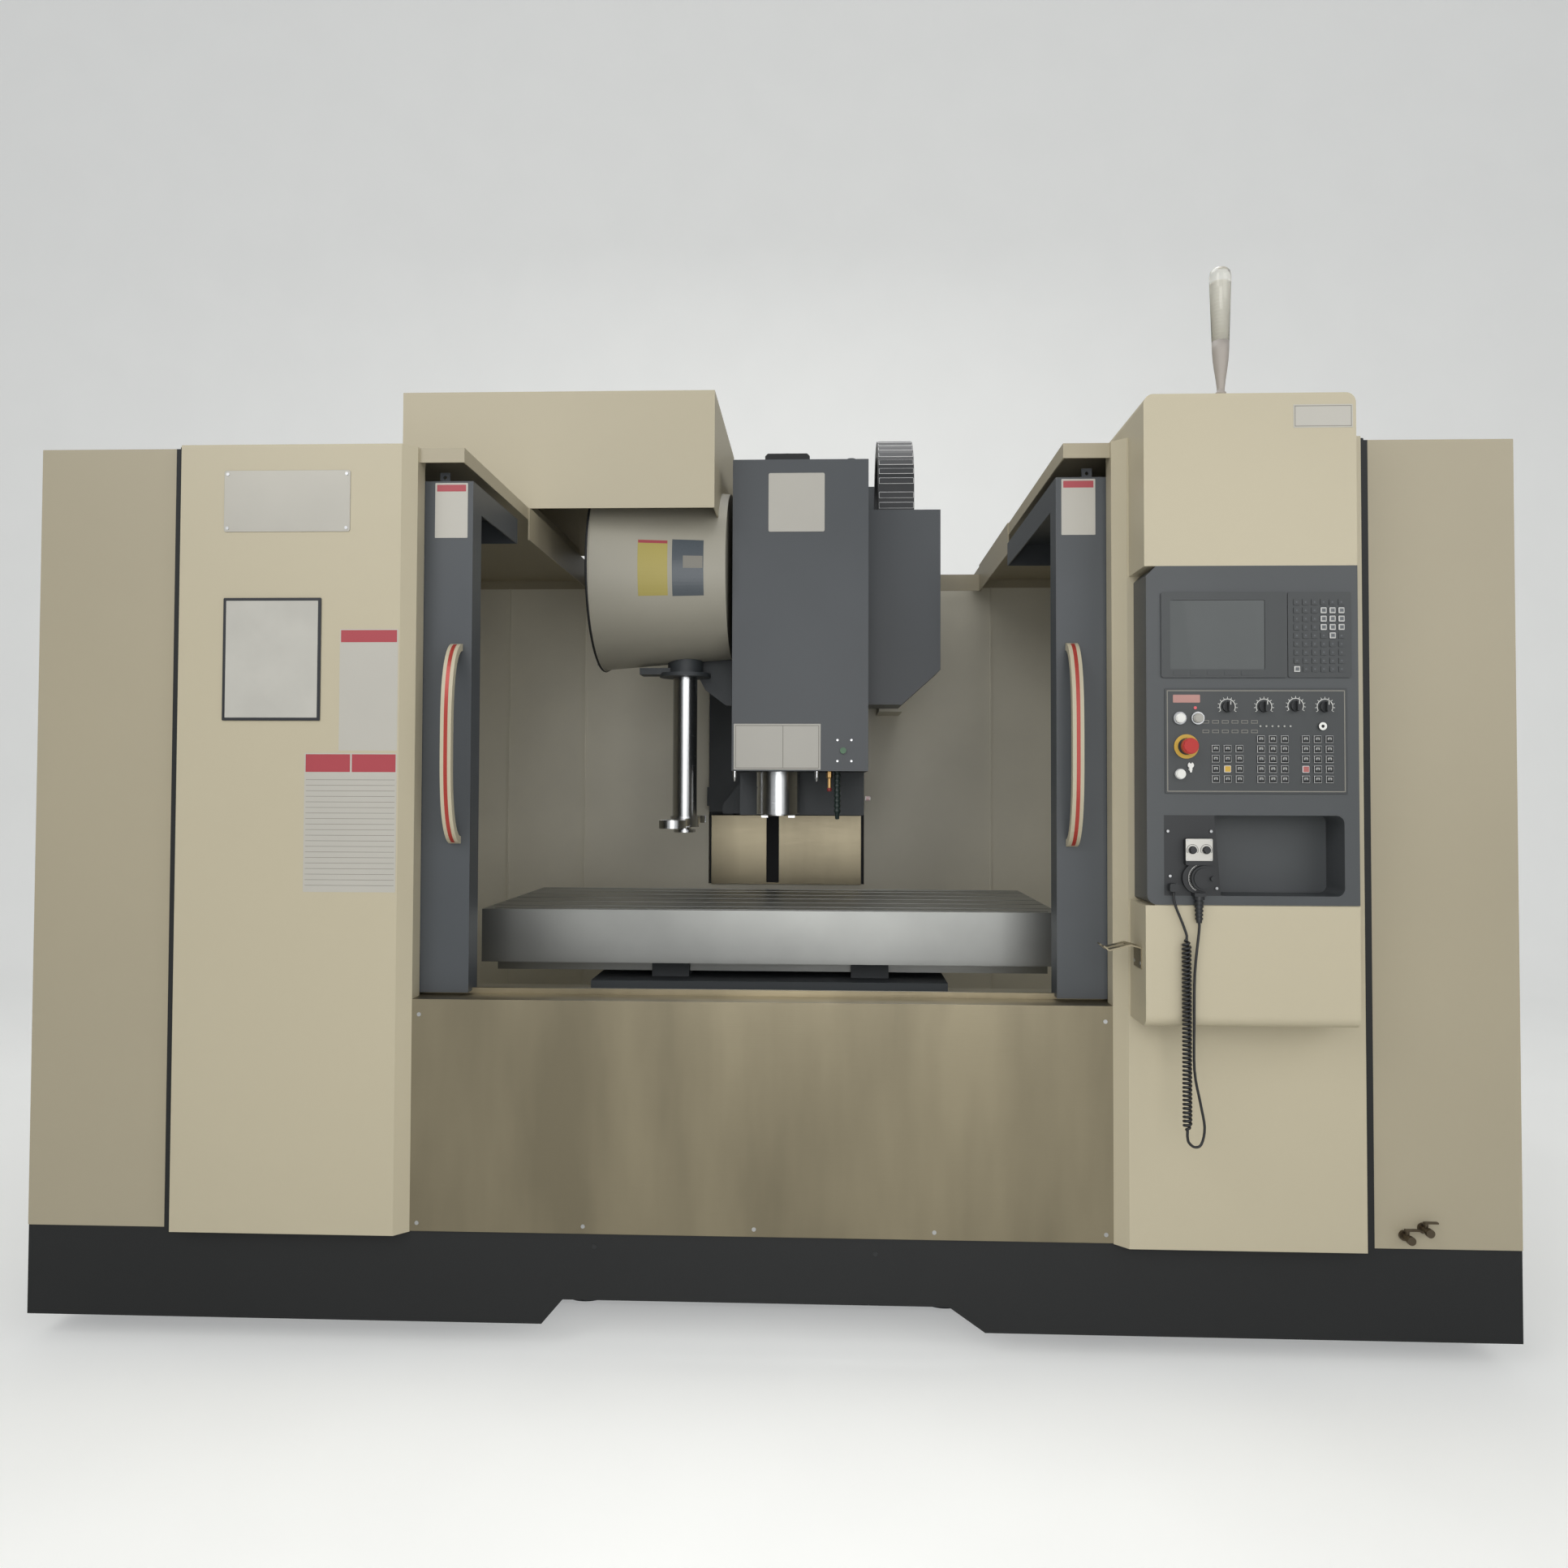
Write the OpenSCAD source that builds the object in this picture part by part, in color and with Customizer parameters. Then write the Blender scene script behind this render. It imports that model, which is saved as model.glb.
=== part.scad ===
// Vertical machining center with sliding front doors, arm tool changer and operator console.
// Lengths are in millimetres. Y runs from the front to the back and Z is up.
// Places along Y are counted from the front face of the main panels, places along X from the middle.

/* [Enclosure] */
// Width over the side panels
machine_w = 4000; // [3960:10:4200]
// Front face of the main panels to the back of the side panels
side_len = 2350; // [2330:10:2500]
// Back of the control cabinet behind the front face
back_reach = 3250; // [3200:10:3400]
// Height of the panel tops
panel_top = 2450; // [2440:5:2500]
// Height of the panel bottoms
panel_bottom = 316; // [280:2:330]
// Sheet thickness of panels and covers
sheet = 4; // [3:0.5:5]
// Half width of the front opening between the main panels
opening_half = 942; // [930:2:960]
// Outer edge of the main panels
main_edge = 1586; // [1560:2:1600]
// Step from the main panels back to the outer panels
panel_step = 36; // [30:1:40]
// Depth of the slanted inner edge of the main panels
edge_chamfer = 33; // [25:1:36]
// Width of the dark corner strips
strip_w = 34; // [24:1:44]
// Underside of the base skirt above the floor
skirt_bottom = 74; // [60:2:90]
// Top of the sill below the doors
sill_top = 941; // [930:1:945]

/* [Doors] */
// Width of one door
door_w = 980; // [976:2:1000]
// Thickness of a door
door_t = 80; // [60:2:84]
// Front face of the doors behind the main panels
door_y = 95; // [95:1:100]
// Height of a door
door_h = 1422; // [1400:2:1424]
// How far an open door still shows inside the front opening
door_show = 135; // [132:1:142]
// Depth of the roof wing of the left door
wing_left = 560; // [500:10:640]
// Depth of the roof wing of the right door
wing_right = 960; // [900:10:970]
// Height of the side flange of a roof wing
wing_flange = 78; // [60:2:80]
// Window width
window_w = 560; // [400:10:640]
// Window height
window_h = 720; // [500:10:800]

/* [Operator station] */
// How far the operator station stands out of the front
station_out = 150; // [140:2:160]
// Left edge of the operator station
station_left = 984; // [980:1:1000]
// Right edge of the operator station
station_right = 1508; // [1500:1:1520]
// Underside of the lower box
lower_box_z = 922; // [900:2:940]
// Joint between the lower box and the console
console_z = 1228; // [1226:1:1230]
// Joint between the console and the hood
hood_z = 2079; // [2070:1:2090]
// Top of the hood
hood_top = 2516; // [2506:1:2530]
// Back end of the hood above the roof
hood_back = 1000; // [900:10:1100]
// Diameter of the push buttons
push_d = 24; // [20:1:26]
// Diameter of the selector knobs
selector_d = 28; // [24:1:32]
// Diameter of the emergency stop head
estop_d = 40; // [36:1:44]

/* [Work table] */
// Table length
table_l = 1800; // [1760:10:1840]
// Table width
table_w = 800; // [760:5:820]
// Table top above the floor
table_z = 1135; // [1125:1:1145]
// Thickness of the table
table_t = 165; // [150:1:170]
// Front edge of the table at rest
table_y = 530; // [525:1:540]
// Width of a table slot
slot_w = 18; // [14:1:22]
// Distance between two table slots
slot_pitch = 140; // [120:2:150]

/* [Head and spindle] */
// Spindle axis behind the front face
spindle_y = 1238; // [1230:1:1240]
// Lower end of the spindle nose at rest
nose_z = 1416; // [1415:1:1418]
// Diameter of the spindle nose
nose_d = 128; // [120:1:136]
// Diameter of the spindle housing
housing_d = 162; // [156:1:170]
// Left edge of the head cover
cover_left = -155; // [-158:1:-150]
// Right edge of the head cover
cover_right = 326; // [320:1:330]
// Front face of the head cover
cover_y = 1000; // [990:1:1004]
// Bottom of the head cover
cover_z = 1578; // [1570:1:1584]
// Top of the head cover
cover_top = 2683; // [2640:1:2700]
// Half width of the slide block behind the head
slide_half = 331; // [320:1:335]

/* [Column] */
// Front face of the column
column_y = 2140; // [2136:1:2150]
// Half width of the column
column_half = 420; // [400:2:430]
// Top of the column
column_top = 2880; // [2860:5:2900]
// Depth of the control cabinet behind the column
cabinet_depth = 436; // [400:2:440]
// Width and height of the guide rails
rail = 45; // [40:1:46]

/* [Tool changer] */
// Axis height of the tool drum
drum_z = 2305; // [2300:1:2315]
// Outer radius of the drum cover at its left end
drum_r = 345; // [344:1:350]
// Outer radius of the drum cover at its right end
drum_r_right = 305; // [300:1:310]
// Right end of the drum cover
drum_right = -175; // [-178:1:-172]
// Left end of the drum cover
drum_left = -655; // [-660:1:-655]
// Number of tool pots
pot_count = 24; // [16:2:24]
// Diameter of a tool pot
pot_d = 70; // [60:1:70]
// Radius of the circle of pots
pot_circle = 290; // [286:1:291]
// Length from the arm shaft to a gripper
arm_reach = 350; // [345:1:352]
// Diameter of the arm shaft
arm_shaft_d = 90; // [70:1:100]
// Top face of the tool arm
arm_z = 1412; // [1400:1:1412]
// Height of the hood over the drum
drum_hood_h = 403; // [380:1:420]

/* [Hidden] */
$fn = 48;
estop_out = 45;
front_reach = station_out + estop_out;
face_y = -(back_reach - front_reach) / 2;
half_w = machine_w / 2;
gap = 0.3;

// Doors
door_open = opening_half - door_show;
door_bottom = sill_top + 8;
door_top = door_bottom + door_h;
door_back = door_y + door_t;
track_w = 10;
track_h = 16;
track_y = door_y + door_t / 2;
beam_front = door_y - 5;
beam_back = door_back + 15;
beam_h = 61;
window_x = door_open + door_w / 2 + 40;
window_z = 1690;
window_r = 40;
glass_t = 12;
handle_x = door_open + 40;
handle_w = 30;
handle_low = 1360;
handle_high = 1915;
handle_bar = 20;

// Outline of the enclosure
strip_edge = main_edge + strip_w;
flange_w = 46;
wall_x = door_open + door_w + 17;
wall_bottom = 640;
rear_wall_y = column_y - 51;
roof_z = panel_top - 40;
roof_inner = door_open + 10;
roof_front = 45;
roof_rest = beam_front;
rib_d = 8;
cross_y = 1757;
cross_in = 540;
band_z = roof_z - 68;
notch_top = 140;

// Carrying structure
bed_half = 620;
bed_bottom = 100;
bed_top = wall_bottom;
bed_front = 330;
cabinet_door_t = 24;
cabinet_back = back_reach - cabinet_door_t - gap;
cabinet_front = cabinet_back - cabinet_depth;
bed_back = cabinet_front - 40;
column_depth = bed_back - column_y;
y_rail_x = 480;
z_rail_x = 260;
z_rail_bottom = 1150;
channel_half = 150;
channel_depth = 120;
screw_d = 50;
z_screw_y = column_y + 45;
bracket_t = 40;
way_y = column_y - 71;
way_bottom = 1093;
way_top = 1396;

// Saddle and table
saddle_half = 560;
saddle_y0 = table_y + 30;
saddle_y1 = table_y + table_w - 30;
table_bottom = table_z - table_t;
table_mid_y = table_y + table_w / 2;
x_rail_off = 230;
x_rail_bottom = table_bottom - rail;
saddle_top = x_rail_bottom - 15;
block_w = 100;
block_l = 120;
saddle_bottom = bed_top + rail + 15;
x_screw_d = 40;
x_screw_z = table_bottom - 24;

// Head
slide_y0 = column_y - 180;
slide_y1 = column_y - 80;
slide_z0 = 1415;
slide_z1 = 2190;
casting_front = cover_y + 20;
casting_top = 2100;
block_z = [1600, 2000];
block_h = 180;
spindle_bore_d = 110;
shoulder_z = 1440;
housing_z = nose_z + 5;
collar_z = 1518;
button_x = 238;
button_z = 1650;
side_box_right = 607;
side_box_y0 = 1290;
side_box_y1 = 1500;
side_box_z0 = 1833;
side_box_z1 = 2571;
chain_x0 = 378;
chain_x1 = 516;
chain_y = 1625;
chain_outer = 225;
chain_t = 60;
chain_top = 2920;
chain_end_z = 1900;

// Tool changer
pot_left = -650;
pot_len = 90;
disc_left = -600;
disc_t = 15;
disc_r = drum_r - sheet - 11;
hinge_x = -664;
hinge_r = pot_circle + 36;
hinge_pin_d = 10;
lug_half = 43;
arm_x = -350;
arm_t = 40;
drive_left = -column_half - 20;
drive_half = 128;
drive_bottom = drum_z - 262;
drive_plate_z0 = drum_z - 255;
drive_plate_z1 = drum_z + 25;
drive_plate_t = 46;
boss_z = 1930;
foot_y0 = spindle_y + 60;
foot_y1 = foot_y0 + 30;
hood_left = -1281;
hood_right = -204;
hood_front = 830;
hood_rear = 1650;
hood_bottom = panel_top + 22;

// Operator station
panel_y = -station_out;
plate_t = 3;
pocket = 12;
push_out = 18;
knob_out = 32;
estop_x = 1081;
estop_z = 1624;
recess_x0 = 1026;
recess_x1 = 1471;
recess_z0 = 1251;
recess_z1 = 1452;
recess_depth = 110;
pendant_x = 1107;
seat_z = 1296;
knob_z = 1366;
knob_off = 17;
cord_y = panel_y - 15;
gland_low = 1185;
coil_x = 1076;
coil_low = 670;
coil_high = 1146;
coil_r = 12.5;
cord_r = 3.5;
lead_z = 1262;
cord_loop = [[1107, 1185], [1107, 1165], [1096, 1060], [1094, 940], [1094, 820], [1108, 740],
  [1118, 681], [1110, 640], [1094, 632], [1080, 642], [1076, 656], [1076, 670]];
cord_lead = [[1076, 1146], [1076, 1156], [1064, 1190], [1050, 1225], [1045, 1248], [1045, 1262]];
cord_steps = 4;

// Control cabinet
cabinet_half = 650;
cabinet_z0 = 300;
cabinet_z1 = 2100;
switch_z = 1300;

// All pieces are drawn from the front face and moved so that the middle of the depth is at zero.
module from_face() {
  translate([0, face_y, 0]) children();
}

module block(x0, x1, y0, y1, z0, z1) {
  translate([x0, y0, z0]) cube([x1 - x0, y1 - y0, z1 - z0]);
}

module both_sides() {
  children();
  mirror([1, 0, 0]) children();
}

// Outline in X and Z, carried along Y
module across(y0, y1) {
  translate([0, y1, 0]) rotate([90, 0, 0]) linear_extrude(y1 - y0) children();
}

// Outline in Y and Z, carried along X
module along(x0, x1) {
  translate([x0, 0, 0]) rotate([90, 0, 90]) linear_extrude(x1 - x0) children();
}

module rod_y(x, z, d, y0, y1) {
  translate([x, y1, z]) rotate([90, 0, 0]) cylinder(d = d, h = y1 - y0);
}

module rod_x(y, z, d, x0, x1) {
  translate([x0, y, z]) rotate([0, 90, 0]) cylinder(d = d, h = x1 - x0);
}

module rod_z(x, y, d, z0, z1) {
  translate([x, y, z0]) cylinder(d = d, h = z1 - z0);
}

module round_rect(x0, x1, z0, z1, r) {
  translate([x0 + r, z0]) square([x1 - x0 - 2 * r, z1 - z0]);
  translate([x0, z0 + r]) square([x1 - x0, z1 - z0 - 2 * r]);
  for (x = [x0 + r, x1 - r], z = [z0 + r, z1 - r]) translate([x, z]) circle(r = r);
}

module levelling_feet() {
  pad_d = 140;
  pad_h = 25;
  stud_d = 40;
  for (y = [bed_front + 90, 950, 1500, 2050, bed_back - 90]) {
    rod_z(bed_half - 90, y, pad_d, 0, pad_h);
    rod_z(bed_half - 90, y, stud_d, pad_h, bed_bottom);
    rod_z(bed_half - 90, y, stud_d + 30, bed_bottom - 22, bed_bottom);
  }
}

// Cast bed on its levelling feet, with Y rails, screw channel and screw
module bed() {
  rib = 60;
  trough = 80;
  color("#3d4246") from_face() {
    difference() {
      block(-bed_half, bed_half, bed_front, bed_back, bed_bottom, bed_top);
      block(-channel_half, channel_half, bed_front + rib, column_y - rib, bed_top - trough, bed_top + 1);
      for (y = [bed_front + 150 : 420 : bed_back - 420])
        block(-bed_half - 1, -bed_half + 90, y, y + 300, bed_bottom + 90, bed_top - 120);
      for (y = [bed_front + 150 : 420 : bed_back - 420])
        block(bed_half - 90, bed_half + 1, y, y + 300, bed_bottom + 90, bed_top - 120);
    }
    both_sides() block(y_rail_x - rail / 2, y_rail_x + rail / 2, bed_front + 10, rear_wall_y - 6,
      bed_top, bed_top + rail);
    rod_y(0, bed_top - 20, screw_d, bed_front + rib, column_y - rib);
    both_sides() levelling_feet();
  }
}

// Cast column: foot, sloping back, ribbed sides and two Z rails
module column() {
  back = bed_back;
  slope_z = 1500;
  top_depth = column_depth * 0.69;
  rib_pitch = 420;
  rib_high = 320;
  rib_y0 = column_y + column_depth * 0.31;
  rib_y1 = column_y + column_depth * 0.62;
  rib_z0 = bed_top + 120;
  color("#3d4246") from_face() {
    difference() {
      along(-column_half, column_half) polygon([[column_y, bed_top], [back, bed_top], [back, slope_z],
        [column_y + top_depth, column_top], [column_y, column_top]]);
      block(-channel_half, channel_half, column_y - 1, column_y + channel_depth, z_rail_bottom - 30,
        column_top + 1);
      for (k = [0 : 3]) block(-column_half - 1, -column_half + 60, rib_y0, rib_y1,
        rib_z0 + k * rib_pitch, rib_z0 + k * rib_pitch + rib_high);
      for (k = [0 : 3]) block(column_half - 60, column_half + 1, rib_y0, rib_y1,
        rib_z0 + k * rib_pitch, rib_z0 + k * rib_pitch + rib_high);
    }
    both_sides() block(z_rail_x - rail / 2, z_rail_x + rail / 2, column_y - rail, column_y,
      z_rail_bottom, column_top - 20);
  }
}

// Ball screw of the head with both bearings and the motor on top
module z_drive() {
  bearing = 70;
  motor = 200;
  color("#2c2f31") from_face() {
    difference() {
      union() {
        block(-channel_half, channel_half, z_screw_y - 35, column_y + channel_depth, z_rail_bottom - 30,
          z_rail_bottom + bearing - 30);
        block(-channel_half, channel_half, z_screw_y - 35, column_y + channel_depth, column_top - bearing,
          column_top);
      }
      rod_z(-channel_half + 30, column_y + 90, 18, z_rail_bottom - 31, column_top + 1);
      rod_z(channel_half - 30, column_y + 90, 18, z_rail_bottom - 31, column_top + 1);
    }
    rod_z(0, z_screw_y, screw_d, z_rail_bottom + bearing - 30, column_top - bearing);
    block(-motor / 2 - 10, motor / 2 + 10, z_screw_y - motor / 2 - 10, z_screw_y + motor / 2 + 10,
      column_top, column_top + 16);
    across(z_screw_y - motor / 2, z_screw_y + motor / 2)
      polygon([[-motor / 2, column_top + 16], [motor / 2, column_top + 16], [motor / 2, column_top + 126],
        [motor / 2 - 12, column_top + 138], [-motor / 2 + 12, column_top + 138],
        [-motor / 2, column_top + 126]]);
    rod_z(0, z_screw_y, motor * 0.6, column_top + 138, column_top + 150);
  }
}

// Dark skirt around the foot, with the notch in front and the beams that hold it on the bed.
// The corner profiles between the panels stand on it, with rounded caps.
module base_skirt() {
  y0 = panel_step + 3;
  t = 6;
  zb = skirt_bottom;
  zt = panel_bottom;
  notch_x0 = -582;
  notch_x1 = 605;
  slope_left = 57;
  slope_right = 96;
  cap = strip_w / 2;
  color("#24272a") from_face() {
    across(y0, y0 + t) polygon([[-half_w, zb], [notch_x0, zb], [notch_x0 + slope_left, notch_top],
      [notch_x1 - slope_right, notch_top], [notch_x1, zb], [half_w, zb], [half_w, zt], [-half_w, zt]]);
    block(-half_w, half_w, y0 + t, y0 + flange_w, zt - t, zt);
    both_sides() {
      block(half_w - t, half_w, y0 + t, side_len, zb, zt);
      block(bed_half, half_w - t, side_len - t, side_len, zb, zt);
      for (y = [bed_front + 60, rear_wall_y - 160])
        block(bed_half, half_w - t, y, y + 80, zt - 76, zt - t);
      block(main_edge, strip_edge, panel_step, panel_step + 24, zt, panel_top);
      block(main_edge, strip_edge, panel_step + 24, roof_rest, panel_top - sheet, panel_top);
      rod_z(main_edge + cap, panel_step + 12, 22, panel_top, panel_top + 6);
    }
  }
}

// Front outer panels with the side panels, and the back of the enclosure beside the column
module outer_panels() {
  y0 = panel_step;
  s = sheet;
  lip = 50;
  hem = 40;
  vent_x0 = half_w - 700;
  color("#e8e6da") from_face() both_sides() {
    translate([0, 0, panel_bottom]) linear_extrude(panel_top - panel_bottom) polygon([
      [strip_edge, y0], [half_w, y0], [half_w, side_len], [half_w - s, side_len],
      [half_w - s, y0 + s], [strip_edge + s, y0 + s], [strip_edge + s, y0 + lip],
      [strip_edge, y0 + lip]]);
    block(strip_edge + s, half_w - s, y0 + s, roof_rest, panel_top - s, panel_top);
    difference() {
      union() {
        block(column_half, half_w - s, side_len - s, side_len, panel_bottom, panel_top);
        block(column_half, half_w - s, side_len - hem, side_len - s, panel_bottom, panel_bottom + s);
        block(column_half, column_half + s, side_len - hem, side_len - s, panel_bottom + s, panel_top);
      }
      block(column_half - 1, bed_half, side_len - hem - 1, side_len + 1, panel_bottom - 1, bed_top);
      for (z = [1700 : 60 : 2060])
        block(vent_x0, vent_x0 + 400, side_len - s - 1, side_len + 1, z, z + 24);
    }
  }
}

// Main front panels with slanted inner edge and return towards the doors
module main_panels() {
  c = edge_chamfer;
  s = sheet + 1;
  color("#f1efe4") from_face() both_sides() {
    translate([0, 0, panel_bottom]) linear_extrude(panel_top - panel_bottom) polygon([
      [main_edge, panel_step + 24], [main_edge, 0], [opening_half + c, 0], [opening_half, c],
      [opening_half, beam_front], [opening_half + s, beam_front], [opening_half + s, c + s / 2],
      [opening_half + c + s / 2, s], [main_edge - s, s], [main_edge - s, panel_step + 24]]);
    translate([0, 0, panel_top - sheet]) linear_extrude(sheet) polygon([
      [main_edge - s, s], [opening_half + c + s / 2, s], [opening_half + s, c + s / 2],
      [opening_half + s, roof_rest], [main_edge, roof_rest], [main_edge, panel_step + 24],
      [main_edge - s, panel_step + 24]]);
  }
}

// Stainless front sheet with folded top, and the beam with the door track
module sill_panel() {
  y0 = edge_chamfer;
  end_x = half_w - sheet;
  color("#a9a79d") from_face() {
    block(-opening_half, opening_half, y0, y0 + sheet, panel_bottom + 2, sill_top);
    block(-opening_half, opening_half, y0 + sheet, beam_front, sill_top - sheet, sill_top);
    block(-end_x, end_x, beam_front, beam_back, sill_top - beam_h, sill_top);
    block(-end_x, end_x, track_y - track_w / 2, track_y + track_w / 2, sill_top, sill_top + track_h);
  }
}

// One half of the fixed roof, with the bar across the back and the band along its inner edge
module roof_half(band_front) {
  s = sheet;
  x0 = roof_inner;
  x1 = half_w - s;
  y1 = side_len - s;
  block(x0, opening_half, roof_front, roof_rest, panel_top - s, panel_top);
  block(x0, x1, roof_rest, y1, panel_top - s, panel_top);
  block(x0, x0 + s, roof_front, y1, roof_z, panel_top - s);
  block(x0 + s, opening_half, roof_front, roof_front + s, roof_z, panel_top - s);
  block(opening_half, x1, roof_rest, roof_rest + s, roof_z, panel_top - s);
  block(wall_x - s, wall_x, roof_rest + s, y1, roof_z, panel_top - s);
  block(x0 + s, wall_x - s, rear_wall_y - s, rear_wall_y, roof_z, panel_top - s);
  block(x0 - 5, x0, band_front, cross_y + s, band_z, panel_top);
  block(cross_in + s, x0 - 5, cross_y, cross_y + s, band_z, roof_z);
  block(cross_in, cross_in + s, cross_y, rear_wall_y - s, band_z, roof_z);
}

module roof_panels() {
  color("#e8e6da") from_face() {
    roof_half(wing_right + 30);
    mirror([1, 0, 0]) roof_half(hood_front - 100);
  }
}

// Inner splash walls with the floor pans beside the bed
module splash_walls() {
  s = sheet;
  y0 = beam_back - s;
  y1 = rear_wall_y;
  cut = slide_half + 14;
  color("#d8d5c8") from_face() {
    difference() {
      block(-wall_x, wall_x, y1 - s, y1, wall_bottom, roof_z);
      block(-cut, cut, y1 - s - 1, y1 + 1, way_bottom, roof_z + 1);
      block(-column_half - drive_plate_t - 14, -column_half + 4, y1 - s - 1, y1 + 1,
        drive_plate_z0 - 10, drive_plate_z1 + 10);
    }
    both_sides() {
      block(cut, cut + s, y1, column_y, way_bottom, roof_z);
      block(wall_x - s, wall_x, y0 + s, y1 - s, wall_bottom, roof_z);
      block(bed_half, wall_x, y0, y1, wall_bottom - s, wall_bottom);
      for (x = [wall_x * 0.5, wall_x * 0.69, wall_x * 0.89])
        block(x, x + 6, y1 - s - rib_d, y1 - s, wall_bottom, roof_z);
      for (y = [y1 / 3, y1 * 0.57, y1 * 0.81])
        block(wall_x - s - rib_d, wall_x - s, y, y + 6, wall_bottom, roof_z);
    }
    block(-wall_x, wall_x, y0, y0 + s, wall_bottom, sill_top - beam_h);
    block(chain_x0 + 20, chain_x1 - 20, chain_y + chain_outer - chain_t, y1 - s, chain_end_z - 60, chain_end_z);
  }
}

// Plates in front of the Z rails below the head
module way_cover() {
  s = sheet;
  slot_x0 = -88;
  slot_x1 = -31;
  color("#8d8f8c") from_face() {
    block(-slide_half, slot_x0, way_y, way_y + s, way_bottom, way_top);
    block(slot_x1, slide_half, way_y, way_y + s, way_bottom, way_top);
    block(slot_x0, slot_x1, way_y + 2 * s, way_y + 3 * s, way_bottom + s, way_top);
    block(slot_x0 - s, slot_x0, way_y + s, way_y + 3 * s, way_bottom + s, way_top);
    block(slot_x1, slot_x1 + s, way_y + s, way_y + 3 * s, way_bottom + s, way_top);
    block(-slide_half, slide_half, way_y + s, column_y, way_bottom, way_bottom + s);
    both_sides() block(slide_half - s, slide_half, way_y + s, column_y, way_bottom + s, way_top);
  }
}

// Hood over the operator console, reaching back across the roof
module operator_hood() {
  r = 25;
  x0 = station_left - 4;
  x1 = station_right;
  color("#f1efe4") from_face() {
    across(panel_y, 0) {
      translate([x0, hood_z]) square([x1 - x0, hood_top - r - hood_z]);
      translate([x0 + r, hood_z]) square([x1 - x0 - 2 * r, hood_top - hood_z]);
      for (x = [x0 + r, x1 - r]) translate([x, hood_top - r]) circle(r = r);
    }
    across(0, hood_back) {
      translate([x0, panel_top]) square([x1 - x0, hood_top - r - panel_top]);
      translate([x0 + r, panel_top]) square([x1 - x0 - 2 * r, hood_top - panel_top]);
      for (x = [x0 + r, x1 - r]) translate([x, hood_top - r]) circle(r = r);
    }
  }
}

module pockets() {
  rod_y(1065, 1695, push_d + 2 * gap, panel_y - plate_t - 1, panel_y + pocket);
  rod_y(1109.5, 1695, push_d + 2 * gap, panel_y - plate_t - 1, panel_y + pocket);
  rod_y(1065, 1555, push_d + 2 * gap, panel_y - plate_t - 1, panel_y + pocket);
  rod_y(estop_x, estop_z, push_d + 2 * gap, panel_y - plate_t - 1, panel_y + pocket);
}

// Dark console casing with the open recess below the control plate
module operator_console() {
  lean = 8;
  cut = 26;
  color("#3a3d42") from_face() difference() {
    translate([0, 0, console_z]) linear_extrude(hood_z - console_z) polygon([
      [station_left, panel_y], [station_right, panel_y], [station_right, 0], [station_left + lean, 0]]);
    across(panel_y - 1, 1) polygon([[station_left - 1, hood_z + 1], [station_left - 1, hood_z - cut],
      [station_left + cut, hood_z + 1]]);
    across(panel_y - 1, 1) difference() {
      translate([station_left - 1, console_z - 1]) square([cut + 1, cut + 1]);
      translate([station_left + cut, console_z + cut]) circle(r = cut);
    }
    across(panel_y - 1, panel_y + recess_depth) union() {
      translate([recess_x0, recess_z0]) square([recess_x1 - recess_x0 - 20, recess_z1 - recess_z0]);
      round_rect(recess_x1 - 100, recess_x1, recess_z0, recess_z1, 20);
    }
    pockets();
  }
}

// Display in its bezel with soft keys below, and the key field beside it
module display_unit() {
  x0 = 1020;
  x1 = 1332;
  z0 = 1797;
  z1 = 2012;
  field_x1 = 1490;
  pitch_x = 22;
  pitch_z = 21;
  key_w = 14;
  color("#1f2225") from_face() {
    across(panel_y - 5, panel_y) difference() {
      round_rect(x0, x1, z0, z1, 6);
      round_rect(x0 + 22, x1 - 55, z0 + 20, z1 - 20, 4);
    }
    across(panel_y - 2, panel_y) translate([x0 + 22, z0 + 20]) square([x1 - x0 - 77, z1 - z0 - 40]);
    for (k = [0 : 4]) across(panel_y - 6, panel_y - 5)
      translate([x0 + 30 + k * 42, z0 + 6]) square([26, 9]);
    across(panel_y - 4, panel_y) round_rect(x1 + 2, field_x1, z0, z1, 6);
    for (c = [0 : 5], r = [0 : 8])
      block(x1 + 16 + c * pitch_x, x1 + 16 + c * pitch_x + key_w, panel_y - 6, panel_y - 4,
        z0 + 14 + r * pitch_z, z0 + 14 + r * pitch_z + key_w);
  }
}

module key_grid(x0, z0, columns, rows) {
  pitch = 22.5;
  key_w = 12;
  for (c = [0 : columns - 1], r = [0 : rows - 1])
    block(x0 + c * pitch, x0 + c * pitch + key_w, panel_y - plate_t - 3, panel_y - plate_t,
      z0 + r * pitch, z0 + r * pitch + key_w);
}

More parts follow.
